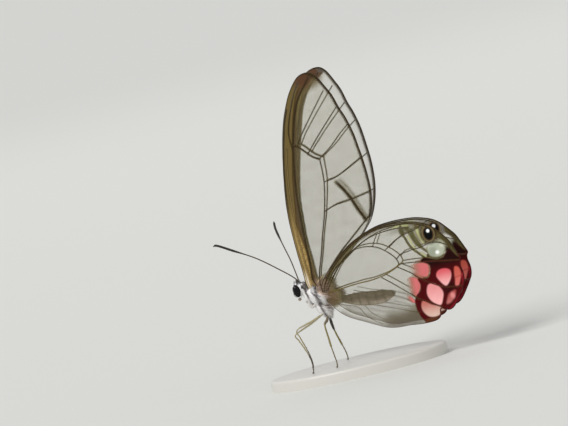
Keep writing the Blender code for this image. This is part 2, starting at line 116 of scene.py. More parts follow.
# Forewing: its outline as points (x, z), its veins as half widths at both ends and points,
# and its marks
FOREWING_EDGE = [(0.9, -1.4), (-0.9, -1.2), (-1.4, 0.3), (-1.5, 3.2), (-1.65, 6.4), (-1.7, 9.3),
    (-1.65, 12.5), (-1.3, 16.2), (-0.35, 21.3), (0.7, 25.6), (1.8, 29.1), (2.9, 31.6), (4.1, 33.8),
    (5.4, 35.5), (6.6, 36.6), (7.8, 37.0), (8.9, 36.9), (9.6, 36.4), (10.2, 35.6), (11.0, 34.0),
    (11.8, 32.2), (12.4, 29.9), (13.1, 27.8), (13.7, 25.1), (14.0, 22.2), (14.2, 19.4),
    (14.2, 16.8), (14.0, 14.4), (13.4, 11.8), (12.6, 9.8), (11.5, 8.3), (8.7, 5.6), (5.3, 3.1),
    (2.8, 1.2), (1.6, 0.0)]
FOREWING_VEINS = {
    "costa": (0.15, 0.09, [(-0.4, -1.2), (-1.15, 0.4), (-1.3, 3.2), (-1.45, 6.4), (-1.5, 9.3),
        (-1.45, 12.5), (-1.1, 16.2), (-0.2, 21.3), (0.9, 25.5), (2.0, 29.0), (3.1, 31.5)]),
    "subcosta": (0.09, 0.07, [(0.6, -1.0), (-0.4, 1.4), (-0.65, 4.0), (-0.75, 8.6), (-0.65, 12.6),
        (-0.3, 17.0), (0.4, 21.4), (1.2, 24.6)]),
    "radius": (0.13, 0.08, [(0.7, -1.0), (0.0, 1.0), (-0.05, 2.4), (0.15, 4.7), (0.25, 8.0),
        (0.5, 12.0), (0.9, 17.0), (1.75, 21.8), (2.8, 26.1), (4.0, 29.6), (5.2, 32.2), (6.7, 34.1),
        (8.6, 36.2)]),
    "radial branch": (0.07, 0.05, [(2.2, 24.3), (2.3, 27.3), (3.4, 30.4), (5.0, 33.6),
        (6.4, 35.6)]),
    "cell end": (0.1, 0.1, [(2.3, 24.7), (2.9, 24.9), (3.6, 24.3), (4.4, 23.4), (5.1, 22.6),
        (5.9, 22.0), (6.5, 21.7)]),
    "cubitus": (0.1, 0.09, [(0.8, -1.0), (1.3, 2.0), (2.0, 4.0), (2.7, 6.0), (3.5, 8.5),
        (4.9, 12.5), (6.2, 17.6), (6.5, 21.7)]),
    "first median": (0.08, 0.06, [(3.2, 24.7), (4.1, 26.1), (5.6, 27.9), (8.1, 30.7),
        (10.5, 33.3)]),
    "second median": (0.08, 0.06, [(4.6, 22.9), (5.3, 23.7), (7.5, 25.9), (10.0, 28.2),
        (12.0, 30.0)]),
    "third median": (0.08, 0.06, [(6.5, 21.8), (9.0, 23.4), (11.3, 25.3), (13.3, 26.7)]),
    "first cubital": (0.08, 0.06, [(6.2, 17.6), (8.2, 17.9), (10.6, 18.9), (14.1, 20.6)]),
    "second cubital": (0.08, 0.06, [(4.9, 12.5), (7.1, 13.2), (9.9, 13.5), (14.0, 14.2)]),
    "anal": (0.08, 0.05, [(0.9, -1.0), (1.9, 0.9), (3.2, 2.4), (5.6, 4.7), (8.6, 7.1),
        (12.7, 10.3)])}
FOREWING_DASH = [(7.9, 17.6), (8.5, 16.8), (9.3, 15.5), (10.1, 13.8), (10.7, 12.0), (11.3, 10.5),
    (11.9, 8.9)]
FOREWING_DASH_STRENGTHS = (1.0, 0.3)
FOREWING_ROOT_LINE = [(0.5, 0.6), (1.3, 1.2), (2.3, 1.9)]
SUBCOSTAL_SHADE = [(0.3, -0.4), (0.1, 1.2), (0.0, 4.0), (0.0, 6.5), (-0.2, 8.5), (-0.4, 10.5),
    (-0.4, 12.0), (0.0, 14.3), (0.4, 16.7), (1.0, 19.8), (2.1, 24.0), (3.1, 27.6), (4.3, 31.0),
    (5.8, 34.0), (7.3, 35.2)]
COSTAL_BAND = [(x - 0.5, z) for x, z in FOREWING_EDGE[1:14]] + [
    (7.6, 37.8), (9.4, 37.4), (9.7, 36.2), (6.9, 34.2), (4.9, 30.9), (3.8, 27.4), (2.8, 23.8),
    (1.9, 20.3), (1.1, 16.7), (0.5, 12.3), (0.4, 8.0), (0.5, 4.7), (0.5, 2.4), (0.6, 1.0),
    (0.9, -1.0)]

# Hindwing: its outline as points (x, z), and its veins as half widths at both ends and points
HINDWING_EDGE = [(1.5, -2.6), (1.2, -1.2), (1.4, 0.0), (2.6, 1.6), (3.9, 2.9), (5.6, 4.35),
    (8.2, 6.1), (10.6, 7.1), (13.0, 7.7), (16.0, 7.85), (19.0, 7.6), (21.1, 7.0), (22.4, 6.4),
    (23.4, 5.6), (24.1, 4.8), (25.4, 3.1), (26.0, 1.8), (26.5, 0.5), (26.85, -0.5), (26.6, -1.0),
    (26.5, -1.7), (26.65, -2.6), (26.7, -3.5), (26.5, -4.6), (26.0, -5.5), (25.4, -6.4),
    (24.6, -7.5), (23.8, -8.4), (23.0, -8.85), (22.2, -8.75), (21.5, -8.4), (21.15, -8.5),
    (21.0, -9.1), (20.85, -9.7), (20.2, -10.15), (18.9, -10.35), (17.2, -10.35), (15.2, -10.15),
    (12.8, -10.05), (10.9, -9.6), (9.1, -8.7), (7.4, -7.8), (5.2, -6.6), (3.9, -5.6), (3.0, -4.6),
    (2.3, -3.6)]
HINDWING_VEINS = {
    "costa": (0.12, 0.1, [(1.5, -1.7), (1.7, -0.5), (2.9, 1.3), (4.2, 2.7), (5.9, 4.1), (8.4, 5.8),
        (10.7, 6.8), (13.0, 7.4), (16.0, 7.55), (19.0, 7.3), (21.0, 6.7), (22.4, 6.0)]),
    "subcosta": (0.09, 0.08, [(1.6, -1.8), (2.1, -0.6), (3.2, 0.9), (4.7, 2.5), (6.4, 3.6),
        (8.6, 5.0), (10.9, 6.1), (13.4, 6.7), (16.5, 6.9), (18.8, 6.6)]),
    "cell front": (0.07, 0.09, [(1.6, -1.8), (2.6, -0.5), (4.2, 1.6), (6.6, 4.0), (8.3, 4.8),
        (10.0, 5.0), (11.5, 4.8), (12.8, 4.3), (14.0, 3.4), (14.8, 2.6), (15.4, 1.8), (15.7, 0.9),
        (15.5, 0.4)]),
    "radial stub": (0.07, 0.05, [(11.9, 4.7), (12.5, 5.7), (13.1, 6.6)]),
    "first median": (0.08, 0.07, [(13.8, 3.5), (15.7, 4.7), (17.1, 5.3), (18.6, 5.7), (19.8, 5.95),
        (20.8, 6.3), (22.0, 6.6)]),
    "second median": (0.08, 0.07, [(15.5, 1.6), (16.4, 2.3), (17.7, 2.5), (18.9, 2.7), (20.0, 2.7),
        (21.2, 3.0), (22.4, 3.2), (23.7, 2.9), (25.1, 2.2)]),
    "third median": (0.08, 0.07, [(15.7, 0.7), (18.0, 0.5), (19.9, 0.2), (22.6, -0.2),
        (26.6, -0.8)]),
    "first cubital": (0.08, 0.08, [(15.2, 0.3), (16.8, -0.8), (17.7, -1.5), (18.4, -2.2),
        (19.3, -2.9), (21.0, -4.0), (23.0, -4.9), (26.1, -5.3)]),
    "second cubital": (0.08, 0.08, [(12.1, -0.9), (13.6, -2.2), (14.9, -3.4), (15.9, -4.3),
        (16.8, -5.1), (17.6, -5.9), (19.7, -7.1), (21.5, -8.2)]),
    "cubitus": (0.1, 0.09, [(1.4, -1.9), (2.2, -1.6), (3.7, -1.35), (6.5, -1.1), (8.3, -1.0),
        (10.1, -1.0), (11.7, -0.8), (12.9, -0.6), (14.1, -0.2), (15.1, 0.2), (15.6, 0.6)]),
    "first anal": (0.05, 0.04, [(1.5, -2.0), (2.6, -2.7), (4.7, -3.7), (7.0, -4.7), (9.7, -5.3),
        (12.9, -6.6), (16.1, -7.9), (17.4, -8.4)]),
    "second anal": (0.05, 0.04, [(1.5, -2.2), (2.8, -3.3), (5.0, -4.3), (6.9, -5.1), (7.9, -6.8),
        (9.0, -7.9), (10.4, -8.9)]),
    "fold": (0.04, 0.03, [(6.8, -2.0), (9.2, -3.0), (12.0, -3.9), (14.6, -5.0), (16.4, -6.2)])}

# Hindwing markings as points (x, z), the pale bars with their half width before them
HINDWING_ROOT_LINE = [(1.0, 0.4), (2.0, 1.1), (2.9, 2.0), (3.9, 3.1)]
PALE_FRONT_LINE = [(15.5, 7.0), (17.5, 7.15), (19.5, 6.9)]
MARGIN_LINE = [(23.4, 4.2), (24.4, 3.5), (25.1, 2.7), (25.6, 1.6)]
EDGE_SPOT_DIVIDE = [(25.0, -3.7), (25.8, -3.5), (26.5, -3.4)]
DARK_BAR = [(17.6, 7.1), (17.6, 5.8), (17.9, 4.9), (18.2, 3.9), (18.6, 3.0), (19.2, 2.3),
    (19.9, 1.5), (20.6, 0.7)]
OLIVE_BAR = [(19.3, 6.0), (19.4, 4.8), (19.8, 3.8), (20.2, 3.0)]
PALE_BARS = [
    (0.15, [(18.4, 5.5), (18.7, 4.2), (19.1, 3.0), (19.5, 2.3)]),
    (0.3, [(20.3, 6.3), (20.5, 5.1), (20.9, 3.8), (21.1, 3.2)]),
    (0.15, [(20.0, 1.9), (20.5, 1.4), (21.0, 0.9)])]
EYESPOT = (22.2, 4.8)
EYESPOT_PUPIL = (22.25, 5.3)
WHITE_PATCH = [(21.4, 2.7), (22.6, 3.1), (23.6, 3.0), (24.5, 2.3), (24.4, 1.4), (23.6, 0.6),
    (22.4, 0.6), (21.5, 1.2)]
WHITE_DOT = (23.0, 1.3)
OLIVE_MARGIN = [(22.6, 6.6), (23.5, 4.5), (24.8, 2.6), (25.3, 0.9), (25.9, -0.9), (27.1, -1.0),
    (27.1, 1.6), (25.9, 4.0), (24.3, 5.9)]
MAROON_FIELD = [(19.7, 0.3), (20.3, 0.8), (21.5, 0.5), (22.5, 0.1), (23.7, 0.2), (24.5, 0.9),
    (25.2, 1.2), (25.8, 0.7), (26.4, -0.1), (27.4, -0.9), (27.2, -3.4), (27.0, -5.2), (25.9, -7.2),
    (24.4, -8.9), (22.9, -9.5), (21.7, -9.0), (21.4, -9.8), (20.5, -10.6), (18.6, -10.6),
    (17.6, -9.6), (17.0, -8.1), (16.9, -6.4), (17.4, -5.4), (18.3, -4.6), (18.6, -3.6),
    (18.4, -2.5), (20.1, -2.7), (20.8, -2.0), (21.0, -0.6)]
PINK_SPOTS = {
    "upper": [(23.4, -1.7), (22.3, -1.9), (21.8, -2.7), (22.2, -3.7), (23.1, -4.7), (24.0, -4.0),
        (24.5, -3.0), (24.4, -2.1)],
    "middle": [(20.9, -3.9), (19.9, -4.0), (19.4, -5.4), (19.9, -6.8), (21.3, -7.8), (22.0, -6.8),
        (22.3, -5.7), (21.8, -4.6)],
    "low": [(24.6, -5.8), (23.4, -6.1), (22.9, -6.8), (22.5, -7.8), (23.3, -7.7), (24.2, -6.9)],
    "edge": [(25.4, -1.8), (26.1, -2.0), (26.3, -3.0), (26.0, -4.0), (25.3, -5.2), (24.8, -5.0),
        (25.0, -3.9), (25.1, -2.9)]}
TAIL_SPOT = [(18.4, -6.5), (17.9, -7.2), (18.0, -8.3), (18.8, -9.3), (19.9, -9.6), (20.9, -9.3),
    (21.3, -8.2), (19.7, -7.4)]
INNER_PINKS = [
    [(17.8, 0.1), (20.6, -0.2), (20.6, -1.9), (19.9, -2.5), (18.0, -1.7), (16.9, -0.9)],
    [(16.8, -2.0), (18.2, -2.4), (18.6, -3.6), (18.2, -4.6), (17.4, -5.4), (16.2, -4.2),
        (15.9, -3.0)],
    [(15.4, -4.7), (16.6, -5.5), (17.0, -6.6), (15.8, -5.9)]]
SHADED_LOBE = [(11.0, -8.2), (14.1, -8.2), (17.0, -7.6), (18.2, -9.6), (17.0, -10.7),
    (14.5, -10.8), (11.5, -10.2)]
MAROON_TAIL = [(26.4, -3.2), (27.4, -3.0), (27.0, -5.2), (25.7, -7.3), (24.2, -8.9), (22.6, -9.0),
    (23.9, -7.9), (25.5, -6.1), (26.2, -4.6)]

# Body, in millimetres from the wing root: eggs as centre, radii and tilt, and the abdomen's rod
THORAX = ((0.1, 0.0, -1.7), (2.66, 1.72, 1.78), 25.0)
THORAX_LOW = ((0.35, 0.0, -4.0), (1.05, 1.12, 2.05), -28.0)
COLLAR = ((-1.9, 0.0, -0.3), (0.95, 1.0, 1.52), 0.0)
HEAD = ((-3.0, 0.0, 0.28), (0.86, 0.95, 1.28), 0.0)
EYE_CENTRE = Vector((-3.4, 0.95, -0.05))
EYE_RADII = (0.65, 0.55, 1.14)
EYE_TILT = -6.0
EYE_ROOM = (0.7, 0.62, 1.1)
ABDOMEN_LINE = [(1.2, 0.0, -2.9), (2.4, 0.0, -3.15), (3.6, 0.0, -3.3), (5.2, 0.0, -3.55),
    (7.0, 0.0, -3.9), (9.0, 0.0, -4.25), (11.0, 0.0, -4.4), (12.4, 0.0, -4.3), (13.1, 0.0, -4.12)]
ABDOMEN_RADII = [0.6, 0.45, 0.52, 0.9, 1.17, 1.26, 1.24, 1.14, 0.46]
ABDOMEN_SEGMENTS = 8
ABDOMEN_FROM = 1.2
ABDOMEN_LENGTH = 11.9
BODY_AXIS = [(-4.0, 0.3), (-2.0, -0.2), (0.0, -1.9), (1.6, -2.9), (3.0, -3.2), (7.0, -3.9),
    (11.0, -4.4), (13.2, -4.1)]
BODY_FROM = -4.6
BODY_LENGTH = 18.4
SKIN_VOXEL = 0.085

# Marks of body and head as points (x, z) on the flank as the camera sees it, the stripes with
# their half width before them, and the flank's shift in x and z for each millimetre outward
FLANK_SHIFT = (0.194, 0.07)
BROWN_STRIPES = [
    (0.14, [(-1.1, -0.9), (-0.8, -1.5), (-0.55, -2.0)]),
    (0.28, [(-0.35, -0.6), (-0.42, -1.2), (-0.44, -1.9), (-0.36, -2.55), (-0.2, -3.2)]),
    (0.16, [(-0.3, -2.7), (-0.2, -3.3), (-0.05, -3.9), (0.2, -4.7), (0.45, -5.5), (0.7, -6.2)]),
    (0.1, [(-2.05, -0.2), (-1.9, -1.4), (-1.7, -2.3), (-1.4, -3.0)])]
WING_BASE_FUZZ = [(-0.1, 0.5), (0.8, 0.9), (1.6, 1.0), (2.4, -0.1), (2.5, -1.0), (3.1, -1.7),
    (3.6, -2.4), (3.2, -3.5), (2.5, -4.1), (1.6, -4.4), (0.7, -4.0), (0.75, -2.9), (0.85, -1.8),
    (0.8, -1.1), (0.3, -0.5)]
WING_BASE_BROWN = [(x + 0.4, z + 0.15) for x, z in WING_BASE_FUZZ]
SHOULDER_TAN = [(-0.3, 0.5), (-0.2, -0.5), (-0.1, -1.1), (0.45, -1.6), (0.9, -2.5), (1.6, -2.2),
    (2.4, -0.6), (1.6, 0.9), (0.6, 1.0)]
WING_BASE_LINE = [(1.5, -2.2), (2.2, -2.9), (3.1, -3.5)]
# The neck's dark brown patch, with painted shade between head and thorax
NECK_BROWN_AND_SHADE = [(-2.45, 1.4), (-1.6, 1.4), (-1.6, 0.6), (-1.75, 0.0), (-1.95, -0.7), (-2.05, -1.2),
    (-2.3, -0.6), (-2.4, 0.0), (-2.7, 0.2), (-2.65, 0.8)]
NECK_LINE = [(-2.5, 0.95), (-2.2, 1.25), (-1.85, 1.22)]
EYE_CRESCENT = [(-2.8, 0.8), (-2.84, 0.2), (-2.88, -0.5), (-2.88, -1.2)]

# Hair: how many, how deep a root starts, the steps and taper along each, and its map patch
WING_ROOT_HAIRS = 1500
WING_BASE_HAIRS = 2000
SHOULDER_HAIRS = 700
HAIR_ROOT_DEPTH = 0.06
HAIR_STEPS = (0.0, 0.35, 0.7, 1.0)
HAIR_TAPER = (1.0, 0.9, 0.6, 0.16)
HAIR_PATCH = 0.003

# Grain of each finish: how fine it is, how strong, and its depth in metres
FILM_GRAIN = (9000.0, 0.25, 0.00003)
SCALE_GRAIN = (14000.0, 0.5, 0.00003)
BASE_GRAIN = (2500.0, 0.05, 0.00002)
EYE_FACETS = (22000.0, 0.25, 0.00001)

# Feelers, mouthparts and legs, in millimetres from the wing root
ANTENNA_LEFT = [(-2.7, -0.35, 0.7), (-3.2, -0.6, 2.2), (-5.7, -1.5, 4.7), (-8.8, -2.5, 7.4),
    (-12.4, -3.2, 9.7), (-14.7, -3.5, 11.1), (-15.45, -3.6, 11.12)]
ANTENNA_RIGHT = [(-2.7, 0.35, 0.7), (-2.95, 0.7, 2.0), (-3.8, 2.8, 5.0), (-4.7, 4.6, 7.3),
    (-5.5, 6.3, 9.3), (-6.1, 7.8, 10.9), (-6.3, 8.95, 12.1)]
ANTENNA_JOINTS = 42.0
PALP_LINE = [(-3.3, 0.25, -0.95), (-3.75, 0.34, -1.05), (-4.0, 0.34, -0.4), (-3.98, 0.32, 0.4),
    (-3.85, 0.32, 1.1), (-3.65, 0.32, 1.85)]
PALP_HAIRS = 16
PALP_HAIR_LENGTH = 0.28
PALP_HAIR_TAPER = (0.024, 0.018, 0.006)
PALP_SEEDS = {"left": 31, "right": 32}
PROBOSCIS_CENTRE = Vector((-3.35, 0.0, -1.65))
PROBOSCIS_TURNS = 3.6
PROBOSCIS_ROOT = [(-2.95, 0.0, -1.1), (-3.1, 0.0, -0.7)]

# Legs: bristles as how many at each step, their length and their half width, claws and pads as
# points from the foot's end and half widths, and each leg's line from the body down
SHIN_BRISTLES = (2, 0.22, 0.016)
THIGH_BRISTLES = (4, 0.2, 0.012)
FORELEG_BRISTLES = (9, 0.2, 0.012)
FOOT_JOINTS = 5.0
FOOT_PAD = ([(0.0, 0.0, 0.1), (-0.05, 0.0, -0.12), (-0.08, 0.0, -0.27)], [0.08, 0.1, 0.07])
CLAW = ([(0.0, 0.0, 0.0), (-0.16, 0.2, 0.02), (-0.28, 0.3, -0.1), (-0.3, 0.32, -0.26)],
        [0.06, 0.05, 0.035, 0.01])
CLAW_TURN = 0.4
FORELEG = [(-0.7, 0.9, -3.0), (-1.4, 1.05, -3.4), (-1.9, 1.0, -2.8), (-2.2, 0.9, -2.1)]
MIDLEG_LEFT = [(0.2, 0.8, -5.0), (-1.9, 2.7, -6.0), (-4.6, 5.0, -7.1), (-4.35, 5.0, -8.2),
    (-3.9, 5.0, -9.3), (-3.3, 5.0, -11.0), (-3.0, 5.0, -12.6), (-3.1, 5.1, FLOOR)]
MIDLEG_RIGHT = [(0.2, 0.8, -5.0), (-2.6, 2.7, -6.1), (-6.1, 4.9, -7.3), (-5.95, 5.0, -8.8),
    (-5.5, 5.0, -10.3), (-5.1, 5.0, -11.8), (-4.9, 5.1, -13.2), (-4.9, 5.2, FLOOR)]
HINDLEG_LEFT = [(0.9, 0.7, -5.6), (0.8, 2.3, -6.2), (0.6, 4.0, -6.7), (0.7, 4.05, -8.8),
    (0.8, 4.1, -10.4), (0.95, 4.1, -12.0), (1.1, 4.15, -13.2), (1.1, 4.2, FLOOR)]
HINDLEG_RIGHT = [(0.9, 0.7, -5.6), (0.7, 2.0, -7.0), (0.6, 3.3, -8.3), (0.8, 4.0, -9.8),
    (1.1, 4.6, -11.4), (1.4, 5.0, -12.9), (1.5, 5.2, FLOOR)]


def colour(name, description, default):
    """A colour as a screen shows it."""
    return FloatVectorProperty(name=name, description=description, default=default, size=3,
                               min=0.0, max=1.0, subtype="COLOR_GAMMA")


def length(name, description, default):
    return FloatProperty(name=name, description=description, default=default, min=0.0,
                         precision=6, unit="LENGTH")


class WingSettings(bpy.types.PropertyGroup):
    film_thickness: length("Film thickness", "Thickness of the clear film", 0.00006)
    forewing_grid: length("Forewing grid", "Spacing of the forewing's points", 0.00014)
    hindwing_grid: length("Hindwing grid", "Spacing of the hindwing's points", 0.000105)
    film: colour("Film", "Tint of the clear film", (0.56, 0.52, 0.36))
    film_cover: FloatProperty(name="Film cover", description="How much the clear film hides",
                              default=0.12, min=0.0, max=1.0, subtype="FACTOR")
    vein: colour("Vein", "Veins and wing edges", (0.22, 0.17, 0.07))
    costa: colour("Costa", "Tan band at the root of the forewing's front edge",
                  (0.69, 0.58, 0.36))
    costa_mid: colour("Costa middle", "Tan of the front edge further up", (0.45, 0.38, 0.22))
    tip: colour("Tip", "Grey-brown strip inside the front edge", (0.36, 0.30, 0.21))


class MarkSettings(bpy.types.PropertyGroup):
    maroon: colour("Maroon", "Dark field around the pink spots", (0.29, 0.01, 0.02))
    black_maroon: colour("Black maroon", "Darkest part of the field", (0.13, 0.01, 0.01))
    pink: colour("Pink", "Upper part of the pink spots", (0.86, 0.36, 0.39))
    pale_pink: colour("Pale pink", "Lower part of the pink spots", (0.98, 0.72, 0.71))
    rose: colour("Rose", "Inner spots that fade to clear", (0.84, 0.45, 0.45))
    red_edge: colour("Red edge", "Crimson band at the hind edge", (0.56, 0.09, 0.15))
    olive: colour("Olive", "Hindwing's outer margin", (0.38, 0.35, 0.20))
    bar: colour("Bar", "Dark bars beside the eyespot", (0.31, 0.29, 0.11))
    pale_bar: colour("Pale bar", "Pale bars beside the eyespot", (0.80, 0.81, 0.60))
    white: colour("White", "Milky patch under the eyespot", (0.75, 0.77, 0.69))
    ring: colour("Ring", "Tan ring of the eyespot", (0.50, 0.45, 0.31))


class BodySettings(bpy.types.PropertyGroup):
    white: colour("White", "Scales and hair of the thorax", (0.97, 0.965, 0.96))
    stripe: colour("Stripe", "Slanting stripes of the thorax", (0.30, 0.25, 0.25))
    fuzz: colour("Fuzz", "Brown hair at the wing roots", (0.64, 0.54, 0.46))
    back: colour("Back", "Top of the thorax and abdomen", (0.38, 0.33, 0.29))
    side: colour("Side", "Side of the abdomen", (0.60, 0.53, 0.48))
    belly: colour("Belly", "Underside of the abdomen", (0.80, 0.75, 0.70))
    black: colour("Black", "Black spots of head and neck", (0.05, 0.04, 0.04))
    hair_count: IntProperty(name="Hair count", description="Hairs on head and thorax",
                            default=5200, min=0, subtype="UNSIGNED")
    abdomen_hair_count: IntProperty(name="Abdomen hair count", description="Abdomen hairs",
                                    default=2600, min=0, subtype="UNSIGNED")
    hair_radius: length("Hair radius", "Half the thickness of a hair at its root", 0.000024)


class LimbSettings(bpy.types.PropertyGroup):
    antenna: colour("Antenna", "Shaft of the feelers", (0.27, 0.20, 0.10))
    club: colour("Club", "Thick end of the feelers", (0.12, 0.08, 0.04))
    leg: colour("Leg", "Lower part of the legs", (0.52, 0.47, 0.27))
    # Used only on the far hind leg, whose upper part is painted darker as shade
    thigh: colour("Thigh", "Upper part of the hind legs", (0.16, 0.13, 0.11))
    eye: colour("Eye", "Compound eyes", (0.02, 0.016, 0.018))
    shaft_radius: length("Shaft radius", "Half the feeler's thickness", 0.00011)
    club_radius: length("Club radius", "Half the club's thickness", 0.00021)


class StageSettings(bpy.types.PropertyGroup):
    base: colour("Base", "Display base", (0.82, 0.81, 0.78))
    floor: colour("Floor", "Floor", (0.86, 0.86, 0.84))
    key_power: FloatProperty(name="Key strength", description="Strength of the main light",
                             default=1.75, min=0.0)
    fill_power: FloatProperty(name="Fill power", description="Power of the other lights",
                              default=0.8, min=0.0, unit="POWER")


def settings(group):
    return getattr(bpy.context.scene, "butterfly_" + group)


def linear(shown):
    """A colour as seen on a screen, turned into light."""
    shown = np.asarray(shown, dtype=float)
    return np.where(shown <= 0.04045, shown / 12.92, ((shown + 0.055) / 1.055) ** 2.4)


def ease(value):
    """A smooth step from 0 to 1."""
    value = np.clip(value, 0.0, 1.0)
    return value * value * (3.0 - 2.0 * value)


def rising(value, start, span):
    """A smooth step from 0 at the start to 1 a span further on."""
    return ease((value - start) / span)


def falling(value, start, span):
    """A smooth step from 1 at the start to 0 a span further on."""
    return 1.0 - ease((value - start) / span)


def mixed(first, second, share):
    """From the first colour to the second, by the share at each spot."""
    first = np.asarray(first, dtype=float)
    return first + (np.asarray(second, dtype=float) - first) * share[:, None]


def smooth_line(points, step, closed=False):
    """A Catmull-Rom curve through the points, read about every step."""
    points = np.asarray(points, dtype=float)
    count = len(points)
    result = []
    for index in range(count if closed else count - 1):
        start, end = points[index], points[(index + 1) % count]
        before = points[index - 1] if closed or index else start * 2.0 - end
        if closed:
            after = points[(index + 2) % count]
        else:
            after = points[index + 2] if index + 2 < count else end * 2.0 - start
        pieces = max(1, int(round(float(np.linalg.norm(end - start)) / step)))
        for t in np.arange(pieces) / pieces:
            result.append(0.5 * (2.0 * start + (end - before) * t
                                 + (2.0 * before - 5.0 * start + 4.0 * end - after) * t ** 2
                                 + (3.0 * start - before - 3.0 * end + after) * t ** 3))
    if not closed:
        result.append(points[-1])
    return np.array(result)


def line_distance(spots, line):
    """How far each spot is from a line, the nearest point on it and the share along it."""
    spots = np.asarray(spots, dtype=float)
    best = np.full(len(spots), 1e9)
    nearest = np.zeros_like(spots)
    along = np.zeros(len(spots))
    for index in range(len(line) - 1):
        start = line[index]
        run = line[index + 1] - start
        share = np.clip((spots - start) @ run / max(float(run @ run), 1e-12), 0.0, 1.0)
        point = start + share[:, None] * run
        gap = np.linalg.norm(spots - point, axis=1)
        closer = gap < best
        best[closer] = gap[closer]
        nearest[closer] = point[closer]
        along[closer] = (index + share[closer]) / (len(line) - 1)
    return best, nearest, along


def is_inside(spots, outline):
    spots = np.asarray(spots, dtype=float)
    found = np.zeros(len(spots), dtype=bool)
    for start, end in zip(outline, np.roll(outline, -1, axis=0)):
        spans = (start[1] > spots[:, 1]) != (end[1] > spots[:, 1])
        rise = end[1] - start[1]
        across = start[0] + (spots[:, 1] - start[1]) / (rise if rise else 1.0) * (end[0] - start[0])
        found ^= spans & (spots[:, 0] < across)
    return found


def closed_line(outline, step=0.2):
    line = smooth_line(outline, step, closed=True)
    return np.vstack([line, line[:1]])


def patch_depth(spots, outline):
    """Signed distance to a smooth closed outline: positive inside."""
    line = closed_line(outline)
    gap = line_distance(spots, line)[0]
    return np.where(is_inside(spots, line[:-1]), gap, -gap)


def gap_to(spots, points, step=0.4):
    """How far each spot is from the smooth line through the points."""
    return line_distance(spots, smooth_line(points, step))[0]


def edge_step(depth, blur):
    """0 outside an edge and 1 inside it, changing over the blur."""
    return ease(depth / blur + 0.5)


def within(spots, outline, blur):
    """1 inside a smooth outline and 0 outside it, changing over the blur."""
    return edge_step(patch_depth(spots, outline), blur)


def forewing_offset(x, z):
    reach = np.hypot(x, z)
    raised = rising(z, FOREWING_HIND_FROM, FOREWING_HIND_SPAN)
    return (FOREWING_ROOT_OFFSET + FOREWING_TIP_FLARE * (reach / FOREWING_LENGTH) ** 3
            + FOREWING_HIND_FLARE * (np.maximum(x, 0.0) / FOREWING_HIND_REACH) ** 2 * raised)


def hindwing_offset(x, z):
    reach = np.hypot(x, z)
    pinch = np.hypot(x - HINDWING_PINCH_AT[0], z - HINDWING_PINCH_AT[1]) / HINDWING_PINCH_REACH
    beyond = np.maximum(0.0, reach - HINDWING_FLARE_FROM) / HINDWING_FLARE_REACH
    return (HINDWING_ROOT_OFFSET + HINDWING_FLARE * beyond ** 1.6
            - HINDWING_PINCH * np.exp(-pinch * pinch))


def wrinkle(x, z):
    """A faint unevenness of the thin film."""
    coarse = np.sin(x * 1.9 + z * 0.7) * np.sin(z * 1.3 - x * 0.4)
    return FILM_WRINKLE * (coarse + 0.5 * np.sin(x * 3.7 - z * 2.9))


def on_wing(flat, offset, sign):
    """Flat points of a wing, set as far from the middle plane as the wing is there."""
    x, z = flat[:, 0], flat[:, 1]
    return np.column_stack([x, sign * (offset(x, z) + wrinkle(x, z)), z])


class Paint:
    """Colour and cover at many spots of a surface, laid on mark by mark."""

    def __init__(self, spots, shown, cover):
        self.spots = spots
        self.tone = np.tile(linear(shown), (len(spots), 1))
        self.cover = np.full(len(spots), cover)

    def blend(self, amount, tone, cover=None):
        """Lay a linear colour, one for all or one for each spot, by the amount at each."""
        self.tone += (tone - self.tone) * amount[:, None]
        if cover is not None:
            self.cover += (cover - self.cover) * amount

    def lay(self, amount, shown, cover=None):
        """Lay a colour as a screen shows it, by the amount at each spot."""
        self.blend(amount, linear(shown), cover)

    def stroke(self, line, width, shown, cover, blur=0.2, strength=1.0, fade=None):
        """A band along a line, from its own half width out over the blur."""
        gap, _, along = line_distance(self.spots, smooth_line(line, 0.4))
        amount = 1.0 - ease((gap - width + blur / 2.0) / blur)
        if fade:
            amount *= ease(along / fade[0]) * ease((1.0 - along) / fade[1])
        self.lay(amount * strength, shown, cover)

    def patch(self, outline, shown, cover, blur=0.2, strength=1.0, second=None):
        """A filled shape. With a second colour, the lower part has that one."""
        amount = within(self.spots, outline, blur) * strength
        tone = linear(shown)
        if second is not None:
            heights = [z for _, z in outline]
            low, high = min(heights), max(heights)
            tone = mixed(linear(second), tone, rising(self.spots[:, 1], low, high - low))
        self.blend(amount, tone, cover)

    def spot(self, centre, radii, shown, cover, blur=0.15, turn=0.0, strength=1.0):
        """A filled ellipse."""
        turn = math.radians(turn)
        x = self.spots[:, 0] - centre[0]
        z = self.spots[:, 1] - centre[1]
        across = (x * math.cos(turn) + z * math.sin(turn)) / radii[0]
        up = (z * math.cos(turn) - x * math.sin(turn)) / radii[1]
        gap = (np.hypot(across, up) - 1.0) * min(radii)
        self.lay(edge_step(-gap, blur) * strength, shown, cover)


def speckle(spots, scale, seed):
    """A soft uneven value between 0 and 1, from a few crossed waves."""
    rng = np.random.default_rng(seed)
    total = np.zeros(len(spots))
    for _ in range(7):
        direction = rng.normal(size=spots.shape[1])
        direction /= np.linalg.norm(direction)
        total += np.sin(spots @ direction * scale * rng.uniform(0.6, 1.7) + rng.uniform(0.0, 6.3))
    return ease(0.5 + total / 9.0)


